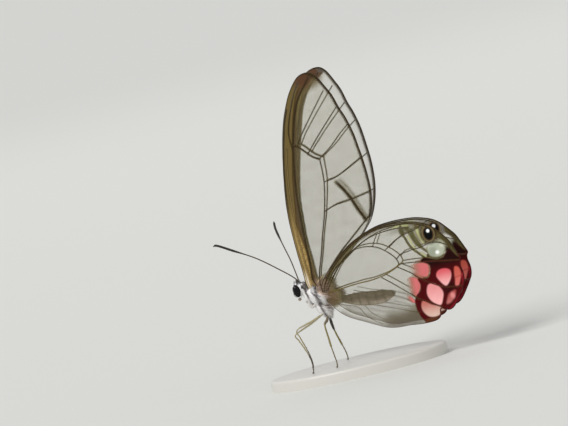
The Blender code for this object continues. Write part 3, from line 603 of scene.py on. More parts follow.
def paint_forewing(spots, dash):
    """The forewing's markings, with its slanting dash at the strength given."""
    wing = settings("wing")
    x, z = spots[:, 0], spots[:, 1]
    paint = Paint(spots, wing.film, wing.film_cover)
    paint.lay(0.35 * speckle(spots, 2.2, 11), (0.46, 0.42, 0.26), wing.film_cover * 1.5)
    # The front edge's band: tan, then grey-brown behind the shade line, paler along the rim
    gap, _, along = line_distance(spots, smooth_line(FOREWING_EDGE[2:17], 0.4))
    band = within(spots, COSTAL_BAND, 0.3)
    paint.lay(band, wing.costa_mid, 0.96)
    paint.lay(band * falling(z, 7.0, 9.0), wing.costa)
    shade = np.array(SUBCOSTAL_SHADE)
    behind_shade = x - np.interp(z, shade[:, 1], shade[:, 0])
    paint.lay(band * rising(behind_shade, 0.0, 0.15), wing.tip, 0.88)
    rim_strip = falling(gap, 0.3, 0.25) * falling(z, 9.0, 6.0)
    paint.lay(band * rim_strip * 0.7, (0.62, 0.55, 0.39))
    paint.stroke(SUBCOSTAL_SHADE, 0.11, (0.25, 0.18, 0.07), 0.97, 0.25, 0.95, (0.05, 0.05))
    # Short dark ticks across the band near its root, and the cream of the root itself
    ticks = (0.5 + 0.5 * np.sin(z * 15.5 + x * 5.0)) ** 3
    ticks *= rising(speckle(spots, 5.0, 14), 0.25, 0.3)
    low = falling(z, 8.0, 5.0) * falling(np.abs(gap - 1.05), 0.3, 0.3)
    paint.lay(ticks * low * band * 0.9, (0.34, 0.22, 0.09))
    pale_width = 0.45 + 0.25 * falling(z, -0.5, 1.2)
    pale = falling(z, 1.2, 2.5) * falling(gap, pale_width, 0.25)
    paint.lay(pale * band * 0.95, (0.96, 0.91, 0.82))
    # Brown lines on the radius and the front rim, the brown tip and the dark outer rim
    inner = gap_to(spots, FOREWING_VEINS["radius"][2])
    paint.lay(falling(inner, 0.08, 0.12) * falling(along, 0.9, 0.1), (0.29, 0.23, 0.12), 0.9)
    paint.lay(falling(gap, 0.08, 0.14) * rising(z, 4.0, 4.0), (0.27, 0.21, 0.10), 0.9)
    tip = falling(np.hypot(x - 7.2, (z - 36.4) * 0.8), 0.6, 2.2)
    paint.lay(tip * 0.95, (0.37, 0.25, 0.17), 0.93)
    outer_gap = gap_to(spots, FOREWING_EDGE[16:30])
    paint.lay(falling(outer_gap, 0.26, 0.22), wing.vein, 0.93)
    paint.lay(falling(outer_gap, 0.4, 0.5) * 0.35, wing.vein, 0.3)
    # The slanting dash with its soft surround, and the stain beside every vein
    paint.stroke(FOREWING_DASH, 0.34, (0.26, 0.21, 0.10), 0.75, 0.6, 0.9 * dash, (0.1, 0.05))
    paint.stroke(FOREWING_DASH, 0.2, (0.19, 0.14, 0.06), 0.97, 0.35, 0.95 * dash, (0.2, 0.1))
    paint.stroke(FOREWING_VEINS["cell end"][2][1:], 0.15, (0.24, 0.18, 0.07), 0.95, 0.3)
    for values in FOREWING_VEINS.values():
        paint.stroke(values[2], 0.13, wing.vein, 0.55, 0.2, 0.7)
    edge_gap = line_distance(spots, closed_line(FOREWING_EDGE))[0]
    paint.lay(falling(edge_gap, 0.0, 0.12), wing.vein, 0.8)
    # The hairy root with a pale line and a black spot
    root = falling(np.hypot(x - 0.9, z + 0.2), 0.6, 1.5)
    paint.lay(root * 0.8, settings("body").fuzz, 0.9)
    paint.stroke(FOREWING_ROOT_LINE, 0.09, (0.80, 0.70, 0.57), 0.95, 0.2, 0.9, (0.1, 0.4))
    paint.spot((-0.3, 0.05), (0.2, 0.36), settings("body").black, 1.0)
    return paint


def paint_hindwing(spots):
    """The hindwing's markings, from the clear film to the rim."""
    wing, mark = settings("wing"), settings("mark")
    paint = Paint(spots, wing.film, wing.film_cover * 0.95)
    x, z = spots[:, 0], spots[:, 1]
    paint.lay(0.3 * speckle(spots, 2.0, 12), (0.50, 0.48, 0.30), wing.film_cover * 1.4)
    # The duller lower part of the film, with faint streaks and a darker hem
    lower = falling(z, -5.5, 3.0) * falling(x, 15.0, 3.0)
    paint.lay(lower * 0.5, (0.50, 0.47, 0.38), 0.2)
    paint.patch(SHADED_LOBE, (0.40, 0.36, 0.30), 0.7, 2.6, 0.85)
    hem = gap_to(spots, HINDWING_EDGE[-14:-2])
    paint.lay(falling(hem, 0.1, 0.7) * 0.6, (0.40, 0.35, 0.27), 0.6)
    streaks = ease(0.5 + 0.9 * np.sin((z * 0.94 + x * 0.34) * 7.0 + np.sin(x * 1.3)))
    paint.lay(lower * streaks * 0.25, (0.36, 0.31, 0.25), 0.34)
    # The front edge, and the brown hair of the root
    gap = gap_to(spots, HINDWING_EDGE[2:13])
    paint.lay(falling(gap, 0.5, 0.4) * 0.8, (0.38, 0.33, 0.21), 0.45)
    paint.lay(falling(gap, 0.18, 0.2), (0.25, 0.19, 0.10), 0.88)
    paint.patch(WING_BASE_BROWN, (0.60, 0.50, 0.42), 0.93, 1.3, 1.0, (0.38, 0.31, 0.21))
    brown = rising(patch_depth(spots, WING_BASE_BROWN), 0.0, 0.5)
    paint.lay(brown * speckle(spots, 9.0, 15) * 0.5, (0.33, 0.27, 0.19))
    paint.stroke(HINDWING_ROOT_LINE, 0.1, (0.66, 0.57, 0.46), 0.95, 0.25, 0.9, (0.1, 0.4))
    # The olive front corner with its dark and pale bars, and the outer margin
    paint.lay(0.55 * rising(x, 13.0, 4.0) * rising(z, 5.4, 1.0), mark.bar, 0.35)
    paint.lay(0.8 * rising(x, 18.4, 2.0) * rising(z, 2.8, 1.2), (0.42, 0.37, 0.22), 0.55)
    paint.stroke(PALE_FRONT_LINE, 0.22, mark.pale_bar, 0.7, 0.3, 0.8, (0.3, 0.2))
    paint.stroke(DARK_BAR, 0.2, mark.bar, 0.82, 0.25)
    paint.spot((17.6, 6.2), (0.5, 0.9), mark.bar, 0.75, 0.5)
    paint.stroke(OLIVE_BAR, 0.34, (0.36, 0.35, 0.20), 0.75, 0.3)
    for width, bar in PALE_BARS:
        paint.stroke(bar, width, mark.pale_bar, 0.8, 0.3, 0.95, (0.15, 0.15))
    paint.patch(OLIVE_MARGIN, mark.olive, 0.92, 0.5)
    outer_gap = gap_to(spots, HINDWING_EDGE[12:22])
    paint.lay(falling(outer_gap, 0.1, 0.35) * 0.85, (0.24, 0.20, 0.10), 0.95)
    paint.stroke(MARGIN_LINE, 0.16, (0.22, 0.17, 0.09), 0.92, 0.5, 0.8, (0.3, 0.1))
    paint.spot((25.1, 1.1), (0.55, 1.0), mark.black_maroon, 0.97, 0.7, 25.0)
    # The milky patch and its white dot under the eyespot
    paint.patch(WHITE_PATCH, mark.white, 0.85, 0.55, 1.0)
    paint.spot((22.2, 1.6), (0.7, 0.8), (0.60, 0.62, 0.55), 0.8, 0.8, 0.0, 0.7)
    paint.spot((24.0, 2.4), (0.35, 0.35), (0.88, 0.88, 0.80), 0.9, 0.5, 0.0, 0.7)
    paint.spot(WHITE_DOT, (0.36, 0.32), (0.98, 0.98, 0.96), 1.0, 0.3)
    paint_eyespot(paint, mark)
    paint_pink_field(paint, mark)
    for name, values in HINDWING_VEINS.items():
        strength = 0.21 if name in ("first anal", "second anal", "fold") else 0.45
        root_tone = hindwing_vein_tone(np.array(values[2][:1]))[0]
        paint.stroke(values[2], 0.12, root_tone, 0.5, 0.2, strength)
    edge_gap = line_distance(spots, closed_line(HINDWING_EDGE))[0]
    rim = falling(edge_gap, 0.0, 0.16) * rising(x, 18.0, 2.0)
    paint.lay(rim * 0.7, (0.18, 0.06, 0.04), 0.95)
    return paint


def paint_eyespot(paint, mark):
    """From the outside in: brown haze, tan ring, brown ring, black disc and white pupil."""
    paint.spot((22.3, 4.9), (1.7, 1.95), (0.33, 0.27, 0.16), 0.62, 0.7)
    paint.spot(EYESPOT, (1.14, 1.46), mark.ring, 0.85, 0.16)
    paint.spot(EYESPOT, (0.97, 1.27), (0.30, 0.22, 0.15), 0.95, 0.14)
    paint.spot(EYESPOT, (0.78, 1.06), (0.02, 0.02, 0.02), 1.0, 0.1)
    paint.spot(EYESPOT_PUPIL, (0.3, 0.32), (1.0, 1.0, 1.0), 1.0, 0.12)


def paint_pink_field(paint, mark):
    """The dark red field, with pink spots inside it and rose ones that fade into the film."""
    x, z = paint.spots[:, 0], paint.spots[:, 1]
    for outline in INNER_PINKS:
        left = min(px for px, _ in outline)
        right = max(px for px, _ in outline)
        fade = ease((x - left) / (right - left) * 1.35)
        paint.lay(within(paint.spots, outline, 0.3) * fade, mark.rose, 0.97)
    field = patch_depth(paint.spots, MAROON_FIELD)
    paint.lay(edge_step(field, 0.22), mark.maroon, 1.0)
    paint.lay(edge_step(field, 0.4) * rising(z, -2.2, 2.0), mark.black_maroon, 1.0)
    between = falling(np.hypot(x - 23.6, z + 5.2), 0.7, 0.9)
    paint.lay(rising(field, 0.0, 0.4) * between * 0.6, mark.black_maroon)
    paint.patch(MAROON_TAIL, mark.red_edge, 1.0, 0.5, 0.9)
    for name in ("upper", "middle"):
        paint.patch(PINK_SPOTS[name], mark.pink if name == "upper" else (0.91, 0.58, 0.58), 1.0,
                    0.3, 1.0, mark.pale_pink)
    paint.patch(PINK_SPOTS["low"], (0.70, 0.32, 0.30), 1.0, 0.5, 0.85, (0.78, 0.46, 0.44))
    paint.spot((23.9, -6.6), (0.4, 0.5), (0.88, 0.55, 0.54), 1.0, 0.5, 0.0, 0.9)
    paint.patch(PINK_SPOTS["edge"], (0.80, 0.36, 0.30), 1.0, 0.35, 0.95, (0.85, 0.45, 0.42))
    paint.stroke(EDGE_SPOT_DIVIDE, 0.08, (0.62, 0.20, 0.18), 1.0, 0.3, 0.7)
    paint.patch(TAIL_SPOT, (0.76, 0.42, 0.38), 1.0, 0.3, 1.0, (0.86, 0.72, 0.66))
    rim = falling(z, -9.9, 0.4) * rising(x, 17.6, 0.8)
    paint.lay(rim * 0.9, (0.36, 0.20, 0.10), 0.95)


def hindwing_vein_tone(spots):
    """Brown veins that turn dark red in the pink field."""
    wing, mark = settings("wing"), settings("mark")
    x, z = spots[:, 0], spots[:, 1]
    tone = np.tile(np.array(wing.vein), (len(spots), 1))
    golden = gap_to(spots, HINDWING_VEINS["cubitus"][2], 0.5)
    tone = mixed(tone, (0.45, 0.38, 0.15), 0.8 * falling(golden, 0.15, 0.1))
    tone = mixed(tone, mark.maroon, rising(x, 17.2, 1.6) * falling(z, 0.3, 0.6))
    return mixed(tone, (0.40, 0.35, 0.27), falling(z, -3.6, 1.0) * falling(x, 15.0, 1.5))


def forewing_vein_tone(spots):
    """Brown veins, tan to white where they run along the root of the front edge."""
    wing = settings("wing")
    z = spots[:, 1]
    tone = np.tile(np.array(wing.vein), (len(spots), 1))
    front = gap_to(spots, FOREWING_VEINS["costa"][2], 0.5)
    near = falling(front, 0.0, 0.25) * falling(z, 9.0, 10.0)
    tone = mixed(tone, wing.costa, near * 0.85)
    pale = near * falling(z, 1.5, 2.5)
    tone = mixed(tone, (0.92, 0.85, 0.72), pale)
    inner = gap_to(spots, FOREWING_VEINS["subcosta"][2], 0.5)
    tan = 0.9 * falling(inner, 0.12, 0.1) * (1.0 - pale)
    return mixed(tone, np.array(wing.costa) * 0.85, tan)


def link(name, data):
    item = bpy.data.objects.new(name, data)
    bpy.context.scene.collection.objects.link(item)
    return item


def link_shape(name, bm):
    """A finished shape as a new object."""
    mesh = bpy.data.meshes.new(name)
    bm.to_mesh(mesh)
    bm.free()
    return link(name, mesh)


def baked(holder, name):
    """A holder's finished mesh, with curves and modifiers worked out, as a new object."""
    graph = bpy.context.evaluated_depsgraph_get()
    mesh = bpy.data.meshes.new_from_object(holder.evaluated_get(graph))
    bpy.data.objects.remove(holder, do_unlink=True)
    mesh.name = name
    return link(name, mesh)


def vertex_places(item):
    places = np.zeros(len(item.data.vertices) * 3)
    item.data.vertices.foreach_get("co", places)
    return places.reshape(-1, 3)


def store_tone(item, tone, cover=None):
    """Keep a colour, and a cover if any, at every point of the mesh."""
    mesh = item.data
    rgba = np.ones((len(mesh.vertices), 4), dtype=np.float32)
    rgba[:, :3] = tone
    mesh.attributes.new("tone", "FLOAT_COLOR", "POINT").data.foreach_set("color", rgba.ravel())
    if cover is not None:
        layer = mesh.attributes.new("cover", "FLOAT", "POINT")
        layer.data.foreach_set("value", np.asarray(cover, dtype=np.float32))


def raise_by(finish, kind, reading, scale, strength, depth):
    """Make a finish uneven by a texture that follows the object's own places."""
    tree = finish.node_tree
    place = tree.nodes.new("ShaderNodeTexCoord")
    texture = tree.nodes.new(kind)
    texture.inputs["Scale"].default_value = scale
    raised = tree.nodes.new("ShaderNodeBump")
    raised.inputs["Strength"].default_value = strength
    raised.inputs["Distance"].default_value = depth
    tree.links.new(place.outputs["Object"], texture.inputs["Vector"])
    tree.links.new(texture.outputs[reading], raised.inputs["Height"])
    tree.links.new(raised.outputs["Normal"], tree.nodes["Principled BSDF"].inputs["Normal"])
    return texture


def material(name, shown=None, roughness=0.5, bump=None, cover=False, **sockets):
    """A finish whose colour is one value or comes from the mesh's own tone."""
    finish = bpy.data.materials.new(name)
    finish.use_nodes = True
    tree = finish.node_tree
    shader = tree.nodes["Principled BSDF"]
    shader.inputs["Roughness"].default_value = roughness
    for socket, value in sockets.items():
        shader.inputs[socket.replace("_", " ")].default_value = value
    readings = []
    if shown is None:
        readings.append(("tone", "Color", "Base Color"))
    else:
        shader.inputs["Base Color"].default_value = (*linear(shown), 1.0)
    if cover:
        readings.append(("cover", "Fac", "Alpha"))
    for layer, output, socket in readings:
        reader = tree.nodes.new("ShaderNodeAttribute")
        reader.attribute_name = layer
        tree.links.new(reader.outputs[output], shader.inputs[socket])
    if bump:
        noise = raise_by(finish, "ShaderNodeTexNoise", "Fac", *bump)
        noise.inputs["Detail"].default_value = 3.0
    return finish


def settle(item, finish, nodes=(), smooth=True):
    item.data.transform(PLACE)
    item.data.materials.clear()
    item.data.materials.append(finish)
    if smooth:
        item.data.shade_smooth()
    item.data.update()
    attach(item, "root")
    if nodes:
        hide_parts(*nodes)
    return item


def strands(name, lines, radii, resolution=2):
    """Many closed tubes, one along each line, as one mesh, and each point's line."""
    curve = bpy.data.curves.new(name, "CURVE")
    curve.dimensions = "3D"
    curve.bevel_depth = 1.0
    curve.bevel_resolution = resolution
    curve.use_fill_caps = True
    for line, sizes in zip(lines, radii):
        spline = curve.splines.new("POLY")
        spline.points.add(len(line) - 1)
        homogeneous = np.ones((len(line), 4))
        homogeneous[:, :3] = line
        spline.points.foreach_set("co", homogeneous.ravel())
        spline.points.foreach_set("radius", np.asarray(sizes, dtype=float))
    item = baked(link(name, curve), name)
    bpy.data.curves.remove(curve)
    sides = 4 + 2 * resolution
    caps = np.repeat(np.arange(len(lines))[::-1], 2 * sides)
    rings = np.concatenate([np.full(len(line) * sides, index) for index, line in enumerate(lines)])
    owner = np.concatenate([caps, rings])
    if len(owner) != len(item.data.vertices):
        raise RuntimeError(f"{name}: {len(item.data.vertices)} points for {len(owner)} expected")
    return item, owner


def close_caps(item):
    """Join the tubes' caps to their sides."""
    bm = bmesh.new()
    bm.from_mesh(item.data)
    bmesh.ops.remove_doubles(bm, verts=bm.verts[:], dist=0.0005)
    bm.to_mesh(item.data)
    bm.free()
    return item


def make_film(name, edge, grid, offset, sign, paint_wing, nodes):
    """One clear wing: a fine even grid cut to its outline, with two faces."""
    outline = smooth_line(edge, grid, closed=True)
    rim = np.vstack([outline, outline[:1]])
    low, high = outline.min(axis=0) - grid, outline.max(axis=0) + grid
    counts = [int(math.ceil(size / grid)) for size in high - low]
    bm = bmesh.new()
    bmesh.ops.create_grid(bm, x_segments=counts[0], y_segments=counts[1], size=0.5)
    spread = Matrix.Diagonal((counts[0] * grid, counts[1] * grid, 1.0, 1.0))
    centre = (low + high) / 2.0
    upright = Matrix.Rotation(math.pi / 2.0, 4, "X")
    moved = Matrix.Translation((centre[0], 0.0, centre[1])) @ upright @ spread
    bmesh.ops.transform(bm, matrix=moved, verts=bm.verts[:])
    bm.verts.ensure_lookup_table()
    spots = np.array([(vert.co.x, vert.co.z) for vert in bm.verts])
    outside = np.nonzero(~is_inside(spots, outline))[0]
    bmesh.ops.delete(bm, geom=[bm.verts[index] for index in outside], context="VERTS")
    loose = [vert for vert in bm.verts if not vert.link_faces]
    bmesh.ops.delete(bm, geom=loose, context="VERTS")
    rim_verts = [vert for vert in bm.verts if vert.is_boundary]
    rim_spots = np.array([(vert.co.x, vert.co.z) for vert in rim_verts])
    for vert, point in zip(rim_verts, line_distance(rim_spots, rim)[1]):
        vert.co.x, vert.co.z = point
    item = link_shape(name, bm)
    flat = vertex_places(item)[:, [0, 2]]
    item.data.vertices.foreach_set("co", on_wing(flat, offset, sign).ravel())
    paint = paint_wing(flat)
    store_tone(item, paint.tone, np.clip(paint.cover, 0.0, 1.0))
    thick = item.modifiers.new("thickness", "SOLIDIFY")
    thick.thickness = settings("wing").film_thickness / MM
    thick.offset = 0.0
    finish = material(name + " film", roughness=0.5, cover=True, bump=FILM_GRAIN,
                      Specular_IOR_Level=0.08)
    settle(baked(item, name), finish, nodes)


def make_veins(name, veins, edge, offset, sign, tone_at, edge_radii):
    """Every vein and the rim of one wing, as round rods through the film."""
    lines, radii = [], []
    for first, last, points in veins.values():
        lines.append(smooth_line(points, 0.35))
        radii.append(np.linspace(first, last, len(lines[-1])))
    lines.append(closed_line(edge, 0.3))
    radii.append(edge_radii(lines[-1]))
    item, _ = strands(name, [on_wing(line, offset, sign) for line in lines], radii, 1)
    places = vertex_places(item)
    store_tone(item, linear(tone_at(places[:, [0, 2]])))
    settle(item, material(name + " rods", roughness=0.6, Specular_IOR_Level=0.2))


def make_wings(pair, grid, edge, veins, offset, painters, tone_at, edge_radii):
    """Film and veins of both wings of a pair, each side with its own painter."""
    for (side, sign), paint_wing in zip(SIDES, painters):
        make_film(f"{pair}_film_{side}", edge, grid, offset, sign, paint_wing,
                  [f"{pair}_{side}"])
        make_veins(f"{pair}_veins_{side}", veins, edge, offset, sign, tone_at, edge_radii)


def forewing_edge_radii(spots):
    outer = rising(spots[:, 0], 6.0, 3.0) * rising(spots[:, 1], 10.0, 3.0)
    return 0.05 + 0.07 * outer


def hindwing_edge_radii(spots):
    outer = rising(spots[:, 0], 17.0, 4.0)
    lower = falling(spots[:, 1], -5.0, 2.0) * (1.0 - outer)
    return 0.075 + 0.015 * outer - 0.03 * lower


class BUTTERFLY_OT_forewings(bpy.types.Operator):
    """Make the two clear forewings with their veins"""

    bl_idname = "butterfly.forewings"
    bl_label = "Forewings"

    def execute(self, context):
        painters = [lambda spots, dash=dash: paint_forewing(spots, dash)
                    for dash in FOREWING_DASH_STRENGTHS]
        make_wings("forewing", settings("wing").forewing_grid / MM, FOREWING_EDGE,
                   FOREWING_VEINS, forewing_offset, painters, forewing_vein_tone,
                   forewing_edge_radii)
        return {"FINISHED"}


class BUTTERFLY_OT_hindwings(bpy.types.Operator):
    """Make the two hindwings with their veins, pink field and eyespot"""

    bl_idname = "butterfly.hindwings"
    bl_label = "Hindwings"

    def execute(self, context):
        make_wings("hindwing", settings("wing").hindwing_grid / MM, HINDWING_EDGE,
                   HINDWING_VEINS, hindwing_offset, [paint_hindwing, paint_hindwing],
                   hindwing_vein_tone, hindwing_edge_radii)
        return {"FINISHED"}


def add_egg(bm, centre, radii, tilt, around=48, down=32):
    """An egg shape with its poles up and down, tilted about Y by degrees."""
    made = bmesh.ops.create_uvsphere(bm, u_segments=around, v_segments=down, radius=1.0)
    turn = (Matrix.Translation(centre) @ Matrix.Rotation(math.radians(tilt), 4, "Y")
            @ Matrix.Diagonal((*radii, 1.0)))
    bmesh.ops.transform(bm, matrix=turn, verts=made["verts"])


def fix_face_order(bm):
    """One order for the faces, since the order a new sphere has changes from run to run."""
    bm.verts.index_update()
    bm.faces.sort(key=lambda face: sum(float(vert.index) ** 2 for vert in face.verts))


def abdomen_rod():
    """The abdomen with its segments swelling a little between the grooves."""
    line = smooth_line(ABDOMEN_LINE, 0.14)
    sizes = smooth_line(list(enumerate(ABDOMEN_RADII)), 0.05)[:, 1]
    radii = np.interp(np.linspace(0.0, 1.0, len(line)), np.linspace(0.0, 1.0, len(sizes)), sizes)
    along = np.linspace(0.0, ABDOMEN_SEGMENTS, len(line))
    groove = (2.0 * np.abs(along % 1.0 - 0.5)) ** 6
    return strands("abdomen_rod", [line], [radii * (1.0 - 0.09 * groove)], 8)[0]


def body_axis_height(x):
    """The height of the body's middle line, from head to tail."""
    return np.interp(x, *zip(*BODY_AXIS))


def body_unwrap(places):
    """Each point's place on the body's own skin rolled flat: along, and round."""
    along = (places[:, 0] - BODY_FROM) / BODY_LENGTH
    turn = np.arctan2(places[:, 1], places[:, 2] - body_axis_height(places[:, 0]))
    return np.column_stack([0.02 + 0.96 * along, 0.5 + 0.48 * turn / math.pi])


def paint_body(places):
    """The body's markings, alike for skin and hair and on both sides."""
    body = settings("body")
    x, side, z = places[:, 0], np.abs(places[:, 1]), places[:, 2]
    flank = np.column_stack([x - FLANK_SHIFT[0] * side, z - FLANK_SHIFT[1] * side])
    paint = Paint(flank, body.white, 1.0)
    paint.lay(0.3 * speckle(places, 3.0, 5), (0.86, 0.83, 0.80))
    for width, line in BROWN_STRIPES:
        paint.stroke(line, width, body.stripe, 1.0, 0.22, 0.95)
    # The dark back, and the abdomen: dark above, pale below, with a ring at each segment
    top = rising(z - 0.35 * x, 0.2, 0.5) * rising(x, -1.7, 0.6) * falling(side, 0.6, 0.5)
    paint.lay(top * 0.95, body.back)
    rear = rising(x, 1.9, 0.9)
    height = z - body_axis_height(x)
    tone = mixed(linear(body.back), linear(body.side), falling(height, -0.55, 0.9))
    tone = mixed(tone, linear(body.belly), falling(height, -0.85, 0.6))
    segment = (x - ABDOMEN_FROM) / ABDOMEN_LENGTH * ABDOMEN_SEGMENTS
    rings = (0.5 + 0.5 * np.cos(segment * math.tau)) ** 5
    speck = (0.75 + 0.4 * speckle(places, 4.0, 6) - 0.3 * rings)[:, None]
    paint.blend(rear, tone * speck)
    # The tan shoulder, the brown hair of the wing roots, and the neck's dark brown with painted
    # shade between head and thorax
    flanks = rising(side, 0.3, 0.4)
    paint.lay(within(flank, SHOULDER_TAN, 0.35) * flanks * 0.85, (0.90, 0.78, 0.68))
    streaks = ease(0.5 + 0.8 * np.sin(x * 21.0 + np.sin(z * 2.0) * 1.5))
    shoulder = rising(patch_depth(flank, SHOULDER_TAN), 0.0, 0.35) * flanks
    paint.lay(shoulder * streaks * 0.55, (0.55, 0.44, 0.36))
    fuzz = within(flank, WING_BASE_FUZZ, 0.8) * flanks
    paint.lay(fuzz, body.fuzz)
    paint.lay(fuzz * rising(x, 1.3, 1.2) * 0.7, (0.42, 0.35, 0.27))
    paint.stroke(WING_BASE_LINE, 0.08, (0.86, 0.77, 0.66), 1.0, 0.2,
                 0.9 * rising(side, 1.2, 0.4))
    # Dark brown of the neck, with painted shade between head and thorax
    paint.lay(within(flank, NECK_BROWN_AND_SHADE, 0.25) * 0.9, (0.25, 0.20, 0.15))
    # The head: grey-brown between the eyes, white beside them, a black crown with white flecks
    head = falling(x, -2.7, 0.35)
    face = 0.85 * head * falling(side, 0.42, 0.2)
    paint.lay(face * rising(z, 0.1, 0.3), body.back)
    paint.lay(head * falling(np.abs(side - 0.38), 0.18, 0.12) * rising(z, 0.1, 0.4), body.white)
    crown = falling(x, -2.2, 0.3) * rising(z, 0.8, 0.25)
    paint.lay(crown * 0.92, body.black)
    flecks = rising(speckle(places, 7.0, 8), 0.78, 0.12)
    paint.lay(crown * flecks, body.white)
    paint.spot((-3.52, 1.05), (0.15, 0.36), body.white, 1.0, 0.15)
    # The white crescent behind the eye, and the small spots of neck and shoulder
    crescent = falling(gap_to(flank, EYE_CRESCENT, 0.2), 0.13, 0.1)
    paint.lay(crescent * rising(side, 0.4, 0.2), (1.0, 1.0, 1.0))
    paint.spot((-2.52, 0.35), (0.17, 0.28), body.black, 1.0, 0.15)
    paint.spot((-2.5, 0.87), (0.18, 0.16), body.white, 1.0, 0.15)
    paint.stroke(NECK_LINE, 0.07, body.white, 1.0, 0.12)
    paint.spot((-0.42, -0.25), (0.26, 0.48), body.black, 1.0, 0.2)
    return paint.tone


def make_skin():
    """Head, thorax and abdomen under one unbroken skin."""
    bm = bmesh.new()
    for centre, radii, tilt in (THORAX, THORAX_LOW, COLLAR, HEAD):
        add_egg(bm, centre, radii, tilt)
    rod = close_caps(abdomen_rod())
    bm.from_mesh(rod.data)
    bpy.data.objects.remove(rod, do_unlink=True)
    holder = link_shape("body_skin", bm)
    step = holder.modifiers.new("one skin", "REMESH")
    step.mode = "VOXEL"
    step.voxel_size = SKIN_VOXEL
    step = holder.modifiers.new("soften", "SMOOTH")
    step.factor = 0.5
    step.iterations = 4
    item = baked(holder, "body_skin")
    store_tone(item, paint_body(vertex_places(item)))
    return item


def face_samples(item, count, seed, keep):
    """Seeded random points over the faces that are kept, with their normals."""
    faces = item.data.polygons
    sizes = np.zeros(len(faces))
    centres, normals = np.zeros((2, len(faces) * 3))
    faces.foreach_get("area", sizes)
    faces.foreach_get("center", centres)
    faces.foreach_get("normal", normals)
    centres, normals = centres.reshape(-1, 3), normals.reshape(-1, 3)
    weights = sizes * keep(centres)
    rng = np.random.default_rng(seed)
    chosen = rng.choice(len(sizes), size=count, p=weights / weights.sum())
    shift = rng.uniform(-0.5, 0.5, size=(count, 3)) * SKIN_VOXEL
    return centres[chosen] + shift, normals[chosen], rng


def wing_base_samples(count, seed):
    """Seeded random points on the outer faces of both hindwings' roots."""
    rng = np.random.default_rng(seed)
    spots = rng.uniform((0.6, -4.2), (5.4, 0.9), size=(count * 8, 2))
    kept = patch_depth(spots, WING_BASE_BROWN) > rng.uniform(-0.3, 0.7, count * 8)
    kept &= is_inside(spots, closed_line(HINDWING_EDGE))
    spots = spots[kept][:count]
    sign = np.where(np.arange(len(spots)) % 2, 1.0, -1.0)
    outward = hindwing_offset(spots[:, 0], spots[:, 1])
    roots = np.column_stack([spots[:, 0], sign * outward, spots[:, 1]])
    return roots, sign[:, None] * (0.0, 1.0, 0.0), rng


def make_hair(name, samples, lie, sizes):
    """Short tapered hairs that lie along the body, as one mesh with their own map."""
    roots, normals, rng = samples
    count = len(roots)
    along = lie(roots)
    along = along - normals * np.sum(along * normals, axis=1)[:, None]
    along /= np.maximum(np.linalg.norm(along, axis=1), 1e-6)[:, None]
    lift, reach = sizes(roots)
    lift = lift * rng.uniform(0.6, 1.5, count)
    reach = reach * rng.uniform(0.65, 1.25, count)
    spread = rng.normal(0.0, 0.22, size=(count, 3))
    away = along + normals * lift[:, None] + spread
    away /= np.linalg.norm(away, axis=1)[:, None]
    droop = along * 0.35 - normals * 0.1
    thickness = settings("body").hair_radius / MM * rng.uniform(0.7, 1.3, count)
    lines, radii = [], []
    for index in range(count):
        root = roots[index] - normals[index] * HAIR_ROOT_DEPTH
        run, bend = away[index] * reach[index], droop[index] * reach[index]
        lines.append(np.array([root + run * share + bend * share * share
                               for share in HAIR_STEPS]))
        radii.append(thickness[index] * np.array(HAIR_TAPER))
    item, owner = strands(name, lines, radii, 0)
    uneven = 0.6 if name.startswith("wing") else 0.28
    tone = paint_body(roots) * (1.0 + uneven * (rng.random(count) - 0.5))[:, None]
    store_tone(item, np.clip(tone[owner], 0.0, 1.0))
    keep_hair_map(item, owner, roots)
    settle(item, material(name + " strands", roughness=0.55), smooth=False)


def keep_hair_map(item, owner, roots):
    """The baking map: each hair has a small patch at its root's place on the skin."""
    mesh = item.data
    for layer in list(mesh.uv_layers):
        mesh.uv_layers.remove(layer)
    spots = body_unwrap(roots)
    corners = np.zeros(len(mesh.loops), dtype=np.int32)
    mesh.loops.foreach_get("vertex_index", corners)
    around = corners % 4
    patch = HAIR_PATCH * np.column_stack([(around % 2) - 0.5, (around // 2) - 0.5])
    layer = mesh.uv_layers.new(name="OFBake")
    layer.data.foreach_set("uv", np.clip(spots[owner[corners]] + patch, 0.0, 1.0).ravel())


def thorax_keep(centres):
    """Head and thorax, but not under the eyes. The head gets more."""
    from_eye = centres - np.array(EYE_CENTRE)
    from_eye[:, 1] = centres[:, 1] - np.sign(centres[:, 1]) * EYE_CENTRE.y
    eye_gap = np.linalg.norm(from_eye / EYE_ROOM, axis=1)
    keep = (centres[:, 0] < 2.2) & (eye_gap > 1.0)
    return keep * np.where(centres[:, 0] < -2.3, 1.5, 1.0)


def thorax_lie(roots):
    """To the rear and down, steeper under the thorax. Upward on the head."""
    low = falling(roots[:, 2], -4.5, 1.5)[:, None]
    lie = (0.62, 0.0, -0.5) + low * (0.1, 0.0, -0.7)
    return mixed(lie, (-0.15, 0.0, 0.8), falling(roots[:, 0], -2.7, 0.4))


def thorax_sizes(roots):
    head = falling(roots[:, 0], -2.7, 0.5)
    crown = head * rising(roots[:, 2], 0.9, 0.3)
    return 0.3 - 0.05 * head + 0.5 * crown, 0.62 - 0.3 * head + 0.1 * crown


def rear_keep(centres):
    return centres[:, 0] > 1.9


def rear_sizes(roots):
    return 0.1, 0.34 + 0.25 * rising(roots[:, 0], 11.5, 1.2)


def root_fuzz_keep(centres):
    depth = patch_depth(centres[:, [0, 2]], WING_BASE_FUZZ)
    return rising(depth, -0.48, 0.8) * (np.abs(centres[:, 1]) > 0.5)


def root_fuzz_lie(roots):
    """To the rear, a little down and away from the body on each side."""
    lie = np.tile((0.8, 0.0, -0.15), (len(roots), 1))
    lie[:, 1] = np.sign(roots[:, 1]) * 0.15
    return lie


